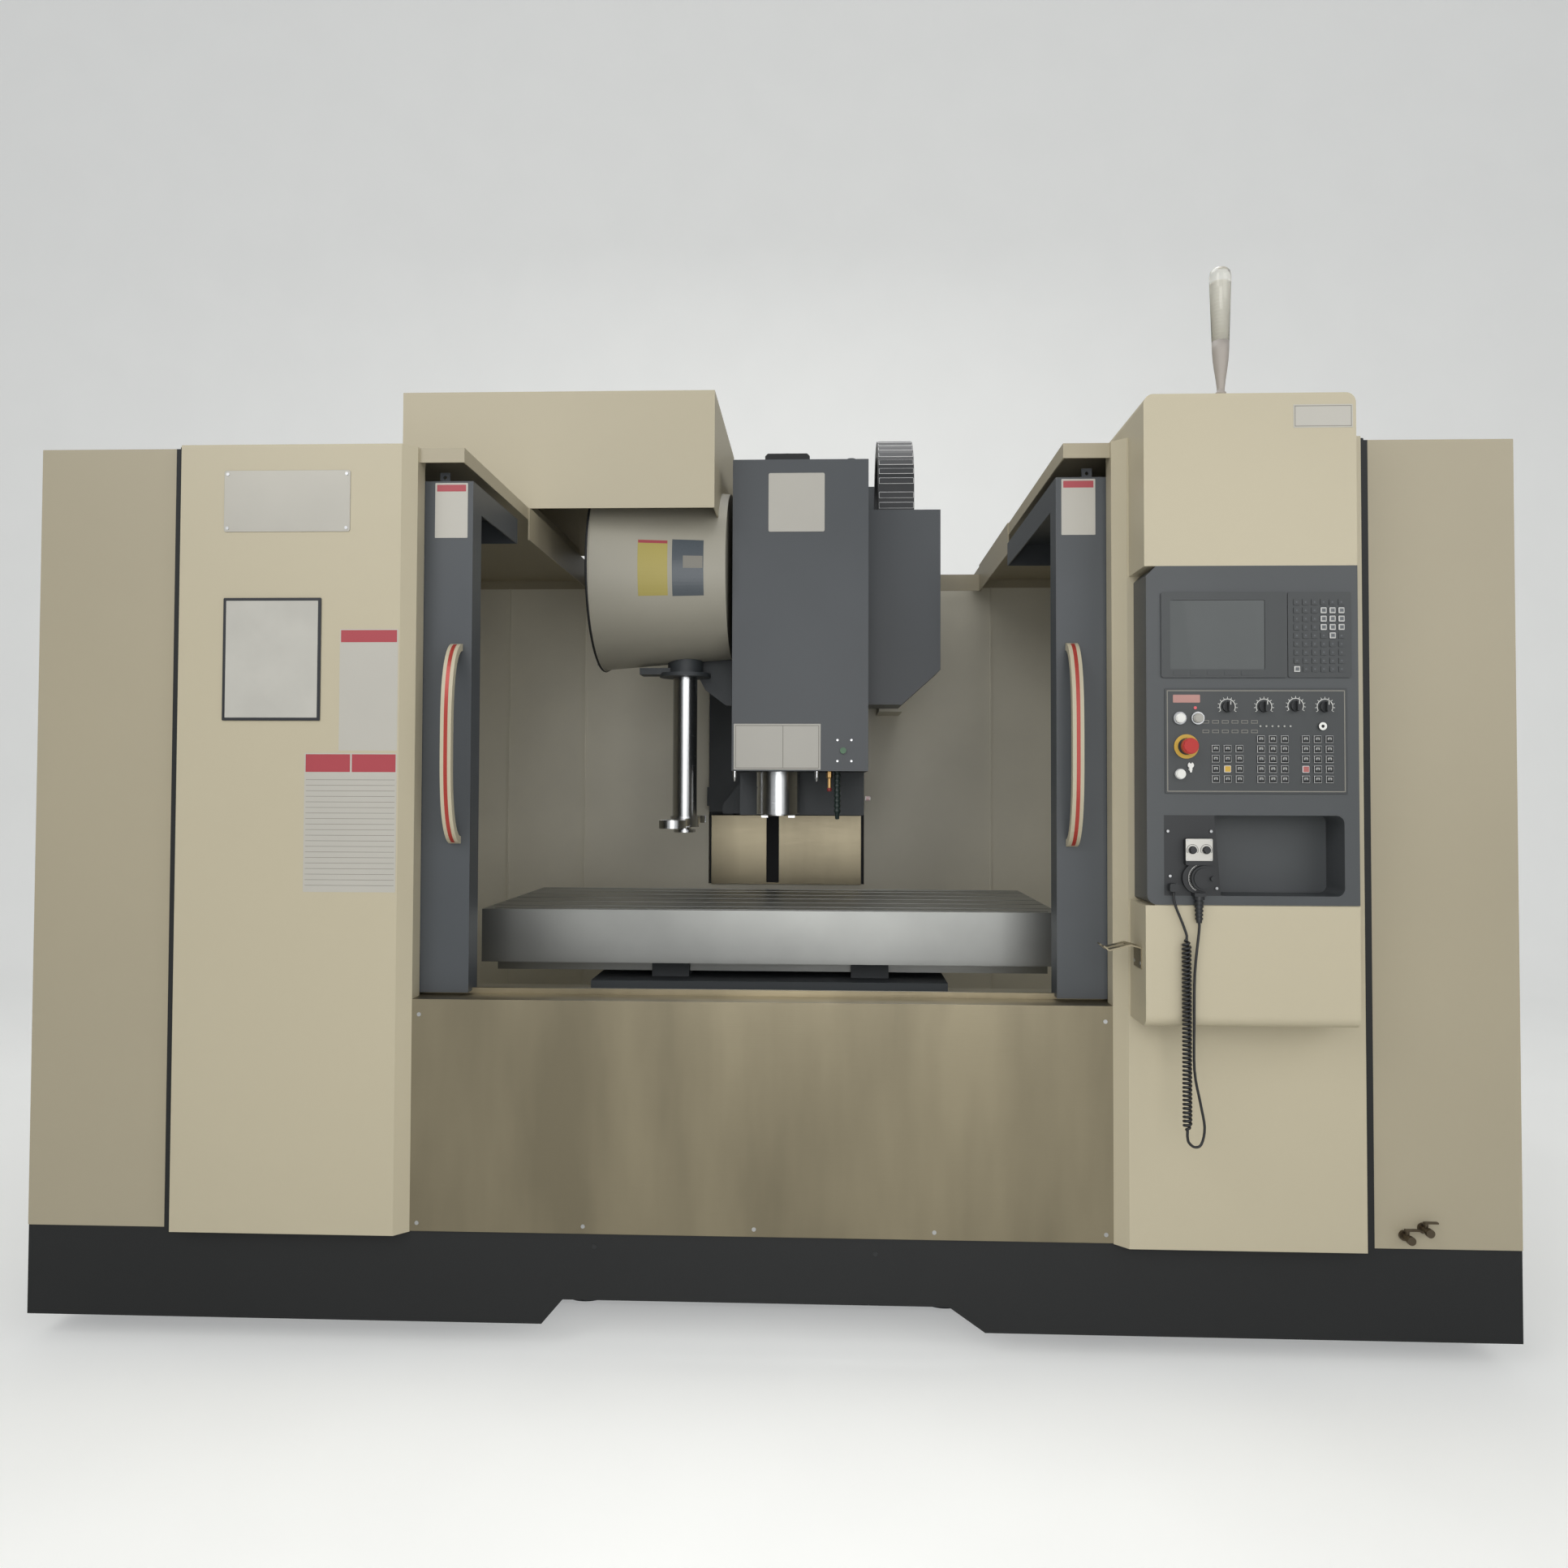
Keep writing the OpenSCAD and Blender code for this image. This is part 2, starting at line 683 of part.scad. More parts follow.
// Control plate with frame line, rows of keys, collars of the buttons and the ring of the stop
module control_plate() {
  x0 = 1029;
  x1 = 1478;
  z0 = 1506;
  z1 = 1770;
  collar = 4;
  ring_d = 60;
  color("#33363b") from_face() {
    difference() {
      union() {
        across(panel_y - plate_t, panel_y) round_rect(x0, x1, z0, z1, 8);
        for (p = [[1065, 1695], [1109.5, 1695], [1065, 1555]])
          rod_y(p[0], p[1], push_d + 6, panel_y - plate_t - collar, panel_y - plate_t);
        rod_y(estop_x, estop_z, ring_d, panel_y - plate_t - 3, panel_y - plate_t);
      }
      pockets();
      rod_y(estop_x, estop_z, push_d + 2 * gap, panel_y - 20, panel_y + 1);
      for (p = [[1065, 1695], [1109.5, 1695], [1065, 1555]])
        rod_y(p[0], p[1], push_d + 2 * gap, panel_y - 20, panel_y + 1);
    }
    key_grid(1157, 1545, 3, 4);
    key_grid(1268, 1545, 3, 5);
    key_grid(1378, 1545, 3, 5);
    for (k = [0 : 5]) rod_y(1264 + k * 14.8, 1675, 5, panel_y - plate_t - 2, panel_y - plate_t);
    rod_y(1109.5, 1716, 6, panel_y - plate_t - 3, panel_y - plate_t);
  }
}

// Cream box below the console with a rounded lower edge
module lower_box() {
  r = 30;
  z1 = console_z - 2;
  color("#f1efe4") from_face() along(station_left - 4, station_right) {
    translate([panel_y, lower_box_z + r]) square([station_out, z1 - lower_box_z - r]);
    translate([panel_y + r, lower_box_z]) square([station_out - r, z1 - lower_box_z]);
    translate([panel_y + r, lower_box_z + r]) circle(r = r);
  }
  color("#3a3d42") from_face() block(station_left + 20, station_right - 6, panel_y + 4, 0, z1, console_z);
}

// Slotted bent plate that the pendant can hang on
module pendant_hook() {
  t = 3;
  x1 = station_left - 4;
  y0 = panel_y + 35;
  y1 = panel_y + 105;
  color("#b9b7ae") from_face() difference() {
    across(y0, y1) polygon([[x1, 1062], [x1, 1116], [x1 - 28, 1124], [x1 - 82, 1110], [x1 - 94, 1120],
      [x1 - 94 - t, 1118], [x1 - 83, 1106], [x1 - 28, 1120.5], [x1 - t, 1113], [x1 - t, 1062]]);
    block(x1 - 100, x1 - 34, y0 + 25, y1 - 25, 1090, 1140);
  }
}

// Black plate in front of the recess, with slanted right edge and the boss that the lead enters
module socket_plate() {
  t = 4;
  top_x = 1151;
  low_x = 1166;
  color("#1d1f21") from_face() {
    across(panel_y, panel_y + t) polygon([[recess_x0, recess_z0], [low_x, recess_z0],
      [top_x, recess_z1], [recess_x0, recess_z1]]);
    across(panel_y - 24, panel_y) round_rect(1034, 1056, lead_z, lead_z + 20, 5);
    for (p = [[1035, 1412], [top_x - 9, 1412], [1040, 1300], [low_x - 11, 1270]])
      rod_y(p[0], p[1], 9, panel_y - 3, panel_y);
  }
}

// Hand pendant: housing with face plate above and round wheel seat below
module pendant() {
  color("#bfc0bd") from_face() {
    difference() {
      union() {
        across(panel_y - 20, panel_y) round_rect(pendant_x - 33, pendant_x + 33, knob_z - 38, knob_z + 28, 5);
        rod_y(pendant_x, seat_z, 78, panel_y - 14, panel_y);
        block(pendant_x - 14, pendant_x + 14, panel_y - 29, panel_y, gland_low + 66, seat_z - 36);
      }
      for (side = [-1, 1]) rod_y(pendant_x + side * knob_off, knob_z, 8.4, panel_y - 21, panel_y - 12);
    }
  }
}

// Knob of the pendant: skirt, grip with a flat and its shaft in the housing
module pendant_knob(side) {
  x = pendant_x + side * knob_off;
  y1 = panel_y - 20 - gap;
  rod_y(x, knob_z, 8, y1, panel_y - 12 - gap);
  rod_y(x, knob_z, 20, y1 - 4, y1);
  rod_y(x, knob_z, 15, y1 - 14, y1 - 4);
}

module axis_knob() {
  color("#26292c") from_face() pendant_knob(-1);
}

module scale_knob() {
  color("#26292c") from_face() pendant_knob(1);
}

module pendant_gland() {
  rings = 5;
  pitch = 10;
  color("#1d1f21") from_face() translate([pendant_x, cord_y, gland_low]) {
    cylinder(d1 = 14, d2 = 20, h = 66);
    for (k = [0 : rings - 1]) translate([0, 0, 8 + k * pitch]) cylinder(d = 19 + k, h = 5);
    translate([0, 0, 58]) cylinder(d = 27, h = 8);
  }
}

// Smooth way through the points of a cord, in X and Z
function blend(a, b, c, d, t) = 0.5 * ((2 * b) + (c - a) * t + (2 * a - 5 * b + 4 * c - d) * t * t
  + (3 * b - a - 3 * c + d) * t * t * t);
function pick(p, i) = p[min(max(i, 0), len(p) - 1)];
function way(p, n) = [for (i = [0 : len(p) - 2], k = [0 : n - 1])
  blend(pick(p, i - 1), p[i], p[i + 1], pick(p, i + 2), k / n), p[len(p) - 1]];
function lead_dir(w, i) = let (d = pick(w, i + 1) - pick(w, i - 1)) d / norm(d);
function end_dir(w, i) = i == 0 || i == len(w) - 1 ? [0, sign(pick(w, i + 1)[1] - pick(w, i - 1)[1])]
  : lead_dir(w, i);

module swept_cord(points, r, sides, y) {
  w = way(points, cord_steps);
  n = len(w);
  pts = [for (i = [0 : n - 1], k = [0 : sides - 1]) let (t = end_dir(w, i), a = 360 * k / sides)
    [w[i][0] + r * cos(a) * t[1], y + r * sin(a), w[i][1] - r * cos(a) * t[0]]];
  walls = [for (i = [0 : n - 2], k = [0 : sides - 1]) let (m = (k + 1) % sides)
    [i * sides + k, (i + 1) * sides + k, (i + 1) * sides + m, i * sides + m]];
  polyhedron(pts, concat([[for (k = [0 : sides - 1]) k]], walls,
    [[for (k = [sides - 1 : -1 : 0]) (n - 1) * sides + k]]));
}

// Lead of the pendant: straight ends, and the tight coil between them as one round bar
module pendant_cord() {
  color("#1d1f21") from_face() {
    swept_cord(cord_loop, cord_r, 8, cord_y);
    swept_cord(cord_lead, cord_r, 8, cord_y);
    rod_z(coil_x, cord_y, 2 * coil_r, coil_low + gap, coil_high - gap);
  }
}

// Signal lamp on the hood: slim tapered stem and clear tube
module signal_lamp() {
  x = 1243;
  y = 60;
  color("#d9d9d4") from_face() translate([x, y, hood_top]) {
    cylinder(d = 40, h = 6);
    translate([0, 0, 6]) cylinder(d = 20, h = 24);
    translate([0, 0, 30]) cylinder(d1 = 20, d2 = 42, h = 90);
    translate([0, 0, 120]) cylinder(d1 = 42, d2 = 46, h = 92);
    translate([0, 0, 212]) cylinder(d1 = 46, d2 = 58, h = 178);
    translate([0, 0, 390]) cylinder(d1 = 58, d2 = 50, h = 16);
    translate([0, 0, 406]) cylinder(d1 = 50, d2 = 24, h = 8);
  }
}

// Tapered round of the drum, grown by a margin
module drum_round(grow, x0, x1) {
  slope = (drum_r - drum_r_right) / (drum_right - drum_left);
  translate([x0, spindle_y, drum_z]) rotate([0, 90, 0])
    cylinder(r1 = drum_r + grow - (x0 - drum_left) * slope, r2 = drum_r + grow - (x1 - drum_left) * slope,
      h = x1 - x0);
}

// Hood over the tool drum, open below
module magazine_hood() {
  s = sheet;
  top = hood_bottom + drum_hood_h;
  color("#f1efe4") from_face() {
    difference() {
      block(hood_left, hood_right, hood_front, hood_rear, hood_bottom, top);
      block(hood_left + s, hood_right - s, hood_front + s, hood_rear - s, hood_bottom - 1, top - s);
      block(drive_left - 40, drive_left + 30, hood_rear - s - 1, hood_rear + 1, hood_bottom - 1, hood_bottom + 110);
      drum_round(2, hood_right - s - 1, hood_right + 1);
    }
    block(hood_left, hood_left + s, hood_front + 40, hood_rear, panel_top, hood_bottom);
    block(-roof_inner - 30, -roof_inner - 26, hood_front + 40, hood_rear - 2 * s, panel_top, hood_bottom + 30);
    block(-roof_inner - 30, -roof_inner - 26, hood_rear - 2 * s, hood_rear - s, panel_top, top - s);
  }
}

// Tapered cover of the tool drum, open at its left end, with slots for the arm drive
module magazine_cover() {
  s = sheet;
  edge = 6;
  color("#d3d0c4") from_face() difference() {
    union() {
      drum_round(0, drum_left, drum_right);
      drum_round(edge, drum_left, drum_left + edge);
    }
    drum_round(-s, drum_left - 1, drum_right - s);
    rod_z(arm_x, spindle_y, arm_shaft_d + 44, drum_z - drum_r - 2, drum_z - drum_r_right / 2);
    block(drive_left - drive_plate_t + 12, drive_left + 24, spindle_y + 100, spindle_y + drum_r + 10,
      drive_plate_z0 - 4, drive_plate_z1 + 4);
    block(arm_x, drum_right - s, foot_y0 - 2, foot_y1 + 2, drum_z - drum_r, drive_bottom);
  }
}

// Cam drive of the tool arm inside the drum cover: plate to the column, shaft bearing and foot below
module arm_drive() {
  plate_x1 = -column_half;
  plate_x0 = plate_x1 - drive_plate_t;
  bearing_r = arm_shaft_d / 2 + 20;
  flange_t = 14;
  rib_x = drum_right - sheet - 2;
  color("#4a4e50") from_face() difference() {
    union() {
      block(drive_left, drum_right - sheet, spindle_y - drive_half, spindle_y + drive_half, drive_bottom,
        drum_z + 135);
      block(plate_x0, plate_x1, spindle_y + drive_half - 60, column_y + 120, drive_plate_z0, drive_plate_z1);
      rod_z(arm_x, spindle_y, 2 * bearing_r, boss_z, drive_bottom);
      rod_z(arm_x, spindle_y, arm_shaft_d + 100, boss_z, boss_z + flange_t);
      rod_x(spindle_y, drum_z, 120, disc_left + disc_t + gap, drive_left);
      block(arm_x - 165, arm_x - 50, spindle_y - 45, spindle_y + 45, boss_z + 8, boss_z + 32);
      across(foot_y0, foot_y1) polygon([[arm_x + 8, drive_bottom], [arm_x + 8, boss_z + 72],
        [arm_x + 70, boss_z - 42], [arm_x + 148, boss_z - 100], [rib_x, boss_z - 100], [rib_x, drive_bottom]]);
    }
    rod_z(arm_x, spindle_y, arm_shaft_d + 0.2, boss_z - 1, drum_z - 60);
  }
}

// Cabinet for the electrical gear, open at the back where its door closes
module electrical_cabinet() {
  s = sheet;
  h = cabinet_half;
  color("#e8e6da") from_face() {
    difference() {
      block(-h, h, cabinet_front, cabinet_back, cabinet_z0, cabinet_z1);
      block(-h + s, h - s, cabinet_front + s, cabinet_back + 1, cabinet_z0 + s, cabinet_z1 - s);
      for (k = [0 : 5]) block(h - s - 1, h + 1, cabinet_front + cabinet_depth * 0.23,
        cabinet_front + cabinet_depth * 0.69, cabinet_z1 - 200 - 40 * k, cabinet_z1 - 184 - 40 * k);
    }
    for (z = [cabinet_z0 + 400, cabinet_z0 + 1080])
      block(-column_half, column_half, bed_back, cabinet_front, z, z + 60);
    block(-h + 60, h - 60, cabinet_front + s, cabinet_front + s + 12, cabinet_z0 + 80, cabinet_z1 - 80);
    for (k = [0 : 3]) block(-h + 120 + 260 * k, -h + 320 + 260 * k, cabinet_front + s + 12,
      cabinet_front + cabinet_depth * 0.39, cabinet_z1 - 700, cabinet_z1 - 380);
    for (z = [cabinet_z0 + 850, cabinet_z0 + 600]) block(-h + 120, h - 120, cabinet_front + s + 12,
      cabinet_front + cabinet_depth * 0.25, z, z + 90);
  }
}

// Two hose valves near the foot of the right outer panel
module hose_valves() {
  y = panel_step;
  first = strip_edge + (half_w - strip_edge) * 0.195;
  low = panel_bottom + 36;
  color("#8b7a52") from_face() for (p = [[first, low], [first + 48, low + 20]]) {
    rod_y(p[0], p[1], 26, y - 8, y);
    rod_y(p[0], p[1], 16, y - 34, y - 8);
    rod_y(p[0], p[1], 22, y - 46, y - 34);
    rod_z(p[0], y - 22, 10, p[1], p[1] + 18);
    block(p[0] - 6, p[0] + 30, y - 27, y - 17, p[1] + 18, p[1] + 22);
  }
}

// Door leaf with rounded window, bottom groove, roof wing and the tab of its stop
module door(wing) {
  s = sheet;
  x0 = door_open;
  x1 = door_open + door_w;
  tab_x = 78;
  tab_w = 28;
  rebate = 10;
  wx0 = window_x - window_w / 2;
  wx1 = window_x + window_w / 2;
  wz0 = window_z - window_h / 2;
  wz1 = window_z + window_h / 2;
  difference() {
    block(x0, x1, door_y, door_back, door_bottom, door_top);
    across(door_y - 1, door_back + 1) round_rect(wx0, wx1, wz0, wz1, window_r);
    across(track_y - glass_t / 2, door_back + 1)
      round_rect(wx0 - rebate, wx1 + rebate, wz0 - rebate, wz1 + rebate, window_r + rebate);
    block(x0 - 1, x1 + 1, track_y - track_w / 2 - gap, track_y + track_w / 2 + gap, door_bottom - 1,
      sill_top + track_h + gap);
  }
  block(x0, x1, door_back, wing, door_top - s, door_top);
  block(x0, x0 + s, door_back, wing, door_top - wing_flange, door_top - s);
  block(x0 + s, x1, wing - s, wing, door_top - wing_flange, door_top - s);
  block(x1 - s, x1, door_back, wing - s, door_top - 30, door_top - s);
  difference() {
    block(x0 + tab_x, x0 + tab_x + tab_w, track_y - 3, track_y + 3, door_top, door_top + 34);
    rod_y(x0 + tab_x + tab_w / 2, door_top + 20, 10, track_y - 4, track_y + 4);
  }
}

module window_pane() {
  edge = 10;
  wx0 = window_x - window_w / 2 - edge;
  wx1 = window_x + window_w / 2 + edge;
  wz0 = window_z - window_h / 2 - edge;
  wz1 = window_z + window_h / 2 + edge;
  across(track_y - glass_t / 2, track_y + glass_t / 2) round_rect(wx0, wx1, wz0, wz1, window_r + edge);
}

// Bowed handle, thickest in the middle, drawn as an outline in Y and Z
function bow(u, depth, half, middle) = [door_y - depth * sqrt(max(0, 1 - pow(abs(u), 3))),
  middle + half * u];

module bow_handle() {
  half = (handle_high - handle_low) / 2;
  middle = (handle_high + handle_low) / 2;
  n = 14;
  us = [for (k = [-n : n]) sin(90 * k / n)];
  outer = [for (u = us) bow(u, door_y, half, middle)];
  inner = [for (k = [2 * n : -1 : 0]) bow(us[k], door_y - handle_bar, half - handle_bar, middle)];
  along(handle_x - handle_w / 2, handle_x + handle_w / 2) polygon(concat(outer, inner));
}

module door_left() {
  color("#3a3e44") from_face() mirror([1, 0, 0]) door(wing_left);
}

module door_right() {
  color("#3a3e44") from_face() door(wing_right);
}

module window_left() {
  color("#9fb0b3") from_face() mirror([1, 0, 0]) window_pane();
}

module window_right() {
  color("#9fb0b3") from_face() window_pane();
}

module handle_left() {
  color("#d8cfc0") from_face() mirror([1, 0, 0]) bow_handle();
}

module handle_right() {
  color("#d8cfc0") from_face() bow_handle();
}

// Saddle between bed and table, with the guide blocks of both axes and both nuts
module saddle() {
  clear = 0.5;
  wall = 40;
  nut = 60;
  x_nut = 50;
  color("#3d4246") from_face() difference() {
    union() {
      difference() {
        block(-saddle_half, saddle_half, saddle_y0, saddle_y1, saddle_bottom, saddle_top);
        block(-saddle_half + wall, -y_rail_x + 90, saddle_y0 - 1, saddle_y1 + 1, saddle_bottom + wall,
          saddle_top - wall - 20);
        block(y_rail_x - 90, saddle_half - wall, saddle_y0 - 1, saddle_y1 + 1, saddle_bottom + wall,
          saddle_top - wall - 20);
      }
      for (x = [-y_rail_x, y_rail_x], y = [saddle_y0 + 40, saddle_y1 - 40 - block_l])
        block(x - block_w / 2, x + block_w / 2, y, y + block_l, saddle_bottom - 45, saddle_bottom);
      for (x = [-380, 380 - block_l], y = [table_mid_y - x_rail_off, table_mid_y + x_rail_off])
        block(x, x + block_l, y - block_w / 2, y + block_w / 2, saddle_top, saddle_top + 45);
      block(-nut, nut, table_mid_y - nut, table_mid_y + nut, bed_top - 70, saddle_bottom);
      block(-x_nut, x_nut, table_mid_y - 40, table_mid_y + 40, saddle_top, table_bottom - 3);
    }
    for (x = [-y_rail_x, y_rail_x])
      block(x - rail / 2 - clear, x + rail / 2 + clear, saddle_y0, saddle_y1, saddle_bottom - 46,
        bed_top + rail + clear);
    for (y = [table_mid_y - x_rail_off, table_mid_y + x_rail_off])
      block(-400, 400, y - rail / 2 - clear, y + rail / 2 + clear, x_rail_bottom - clear, saddle_top + 46);
    rod_y(0, bed_top - 20, screw_d + 0.2, table_mid_y - nut - 1, table_mid_y + nut + 1);
    rod_x(table_mid_y, x_screw_z, x_screw_d + 0.2, -nut - 1, nut + 1);
  }
}

// Table with five T-slots, drip rim, rails and screw below
module table() {
  half = table_l / 2;
  neck = 30;
  end_l = 40;
  head_w = slot_w * 1.7;
  head_h = 14;
  color("#6d7072") from_face() {
    difference() {
      block(-half, half, table_y, table_y + table_w, table_bottom, table_z);
      for (k = [-2 : 2]) {
        y = table_mid_y + k * slot_pitch;
        block(-half - 1, half + 1, y - slot_w / 2, y + slot_w / 2, table_z - neck, table_z + 1);
        block(-half - 1, half + 1, y - head_w / 2, y + head_w / 2, table_z - neck - head_h, table_z - neck + 0.01);
      }
      for (y = [table_y + 14, table_y + table_w - 14 - 22])
        block(-half + 30, half - 30, y, y + 22, table_z - 12, table_z + 1);
    }
    for (y = [table_mid_y - x_rail_off, table_mid_y + x_rail_off])
      block(-half + 10, half - 10, y - rail / 2, y + rail / 2, x_rail_bottom, table_bottom);
    rod_x(table_mid_y, x_screw_z, x_screw_d, -half + 20, half - 20);
    for (x = [-half + 2, half - 2 - end_l]) block(x, x + end_l, table_mid_y - 40, table_mid_y + 40,
      table_bottom - 50, table_bottom);
  }
}

// Head casting: spindle carrier, slide block with guide blocks, screw nut and spindle motor
module head_casting() {
  clear = 0.5;
  s = sheet;
  x0 = cover_left + s;
  x1 = cover_right - s;
  low = slide_z0;
  color("#3d4246") from_face() difference() {
    union() {
      along(x0, x1) polygon([[casting_front, cover_z], [1350, cover_z], [1350, low], [slide_y0, low],
        [slide_y0, casting_top], [casting_front, casting_top - 60]]);
      across(1600, slide_y0) polygon([[x0, cover_z - 16], [-240, 1450], [-240, low], [x0, low]]);
      block(-slide_half, slide_half, slide_y0, slide_y1, slide_z0, slide_z1);
      for (x = [-z_rail_x, z_rail_x], z = block_z)
        block(x - block_w / 2, x + block_w / 2, slide_y1, column_y - 8, z, z + block_h);
      block(-slide_half - 10, -slide_half, slide_y0 + 5, slide_y1 - 20, low + 25, low + 106);
      block(-60, 60, slide_y1, z_screw_y + 45, 1700, 1860);
      rod_z(0, spindle_y, 300, casting_top - 80, casting_top + 40);
      rod_z(0, spindle_y, 250, casting_top + 40, casting_top + 420);
    }
    for (x = [-z_rail_x, z_rail_x])
      block(x - rail / 2 - clear, x + rail / 2 + clear, column_y - rail - clear, column_y,
        block_z[0] - 1, block_z[1] + block_h + 1);
    rod_z(0, z_screw_y, screw_d + 0.2, 1699, 1861);
    rod_z(0, spindle_y, spindle_bore_d + 0.2, cover_z - 1, cover_z + 60);
    block(60, x1 + 1, casting_front - 1, casting_front + 150, cover_z - 1, cover_z + 130);
  }
}

// Sheet covers of the head with the cable box on the right
module head_cover() {
  s = sheet;
  color("#34383c") from_face() {
    difference() {
      block(cover_left, cover_right, cover_y, slide_y0 - 20, cover_z, cover_top);
      block(cover_left + s, cover_right - s, cover_y + s, slide_y0 - 19, cover_z - 1, cover_top - s);
      rod_y(button_x, button_z, 22 + 2 * gap, cover_y - 1, cover_y + s + 1);
    }
    block(cover_left + s, cover_right - s, cover_y + s, casting_front, cover_z, cover_z + s);
    block(60, cover_right - s, casting_front, casting_front + 150, cover_z, cover_z + s);
    across(side_box_y0, side_box_y1) polygon([[cover_right, side_box_z0], [461, side_box_z0],
      [side_box_right, 1965], [side_box_right, side_box_z1], [cover_right, side_box_z1]]);
    block(cover_left + 40, cover_left + 70, cover_y + 60, cover_y + 90, cover_top, cover_top + 14);
    rod_z(cover_right - 60, cover_y + 60, 30, cover_top, cover_top + 16);
  }
}

// Coolant nozzles, air fitting and caps below the head
module head_fittings() {
  z1 = cover_z;
  color("#a8813c") from_face() {
    for (x = [cover_left + 8, 145]) {
      rod_z(x, cover_y + 34, 14, z1 - 24, z1);
      translate([x, cover_y + 34, z1 - 38]) cylinder(d1 = 6, d2 = 12, h = 14);
    }
    rod_z(190, cover_y + 60, 22, z1 - 20, z1);
    rod_z(190, cover_y + 60, 14, z1 - 72, z1 - 20);
    rod_z(218, cover_y + 62, 26, z1 - 150, z1);
    rod_z(218, cover_y + 62, 16, z1 - 172, z1 - 150);
  }
}

// Chain for the cables of the head, from the cable box over the top and down to the rear wall
module cable_chain() {
  mid_z = chain_top - chain_outer;
  inner = chain_outer - chain_t;
  color("#1b1d1f") from_face() {
    difference() {
      rod_x(chain_y, mid_z, 2 * chain_outer, chain_x0, chain_x1);
      rod_x(chain_y, mid_z, 2 * inner, chain_x0 - 1, chain_x1 + 1);
      block(chain_x0 - 1, chain_x1 + 1, chain_y - chain_outer - 1, chain_y + chain_outer + 1,
        mid_z - chain_outer - 1, mid_z);
    }
    block(chain_x0, chain_x1, chain_y - chain_outer, chain_y - inner, side_box_z1, mid_z);
    block(chain_x0, chain_x1, chain_y + inner, chain_y + chain_outer, chain_end_z, mid_z);
  }
}

// Polished housing of the spindle below the head, with its collar and bearing bore
module spindle_housing() {
  groove = 3;
  color("#c9cbcc") from_face() difference() {
    union() {
      rod_z(0, spindle_y, housing_d, housing_z, collar_z);
      rod_z(0, spindle_y, housing_d - 2 * groove, collar_z, collar_z + groove);
      rod_z(0, spindle_y, housing_d, collar_z + groove, cover_z);
    }
    rod_z(0, spindle_y, nose_d + 2 * gap, housing_z - 1, shoulder_z);
    rod_z(0, spindle_y, spindle_bore_d + 0.2, shoulder_z - 1, cover_z + 1);
    for (k = [0 : 5]) translate([0, spindle_y, housing_z - 1]) rotate([0, 0, 60 * k + 30])
      translate([housing_d / 2 - 8, 0, 0]) cylinder(d = 7, h = 9);
  }
}

// Spindle with steep taper, drive keys and the bore of the draw bar
module spindle() {
  taper_d = 69.85;
  taper_l = 102;
  key_w = 25;
  color("#c9cbcc") from_face() difference() {
    union() {
      rod_z(0, spindle_y, nose_d, nose_z, shoulder_z - gap);
      rod_z(0, spindle_y, spindle_bore_d, shoulder_z - gap, cover_z + 50);
      for (a = [-1, 1]) block(a * 50 - 12, a * 50 + 12, spindle_y - key_w / 2, spindle_y + key_w / 2,
        nose_z - 8, nose_z);
    }
    translate([0, spindle_y, nose_z - 0.01]) cylinder(d1 = taper_d, d2 = taper_d - taper_l * 7 / 24, h = taper_l);
    rod_z(0, spindle_y, 30, nose_z + taper_l - 1, cover_z + 51);
    for (a = [-1, 1]) block(a * 50 - 30, a * 50 - 12, spindle_y - 14, spindle_y + 14, nose_z - 9, nose_z - 0.5);
  }
}

module unclamp_button() {
  color("#3f7d4a") from_face() {
    rod_y(button_x, button_z, 22, cover_y - 10, cover_y + sheet + 2);
  }
}

module at_angle(a) {
  translate([0, spindle_y, drum_z]) rotate([a, 0, 0]) children();
}

module at_pot() {
  translate([pot_left, 0, -pot_circle]) rotate([0, 90, 0]) children();
}

module pot_body() {
  at_pot() cylinder(d = pot_d, h = pot_len - 20);
  at_pot() translate([0, 0, pot_len - 20]) cylinder(d = pot_d - 14, h = 20);
}

module pot_bore() {
  at_pot() translate([0, 0, -1]) cylinder(d1 = 50, d2 = 30, h = 70);
}

// Tool disc: plate with hub, fixed pots and the lugs that carry the tipping pot
module magazine_disc() {
  slot_half = pot_d / 2 + 2.5;
  pot_swing = 36;
  lug_t = 10;
  color("#6d7072") from_face() {
    difference() {
      union() {
        rod_x(spindle_y, drum_z, 2 * disc_r, disc_left, disc_left + disc_t);
        rod_x(spindle_y, drum_z, 110, disc_left - 20, disc_left);
        for (k = [1 : pot_count - 1]) at_angle(360 * k / pot_count) pot_body();
        for (side = [-1, 1]) at_angle(0)
          translate([hinge_x - 8, side * lug_half - lug_t / 2, -hinge_r - 8]) {
            cube([16, lug_t, 18]);
            translate([0, 0, 6]) cube([disc_left + disc_t - hinge_x + 8, lug_t, 12]);
          }
      }
      for (k = [1 : pot_count - 1]) at_angle(360 * k / pot_count) pot_bore();
      for (k = [0 : 5]) at_angle(60 * k + 30) translate([disc_left - 1, 0, 150]) rotate([0, 90, 0])
        cylinder(d = 90, h = disc_t + 2);
      at_angle(0) translate([disc_left - 1, -slot_half, -disc_r - 1])
        cube([disc_t + 2, 2 * slot_half, disc_r + 1 - pot_circle + slot_half + pot_swing]);
      at_angle(0) translate([hinge_x, -lug_half - lug_t, -hinge_r]) rotate([-90, 0, 0])
        cylinder(d = hinge_pin_d + 0.1, h = 2 * (lug_half + lug_t));
    }
  }
}

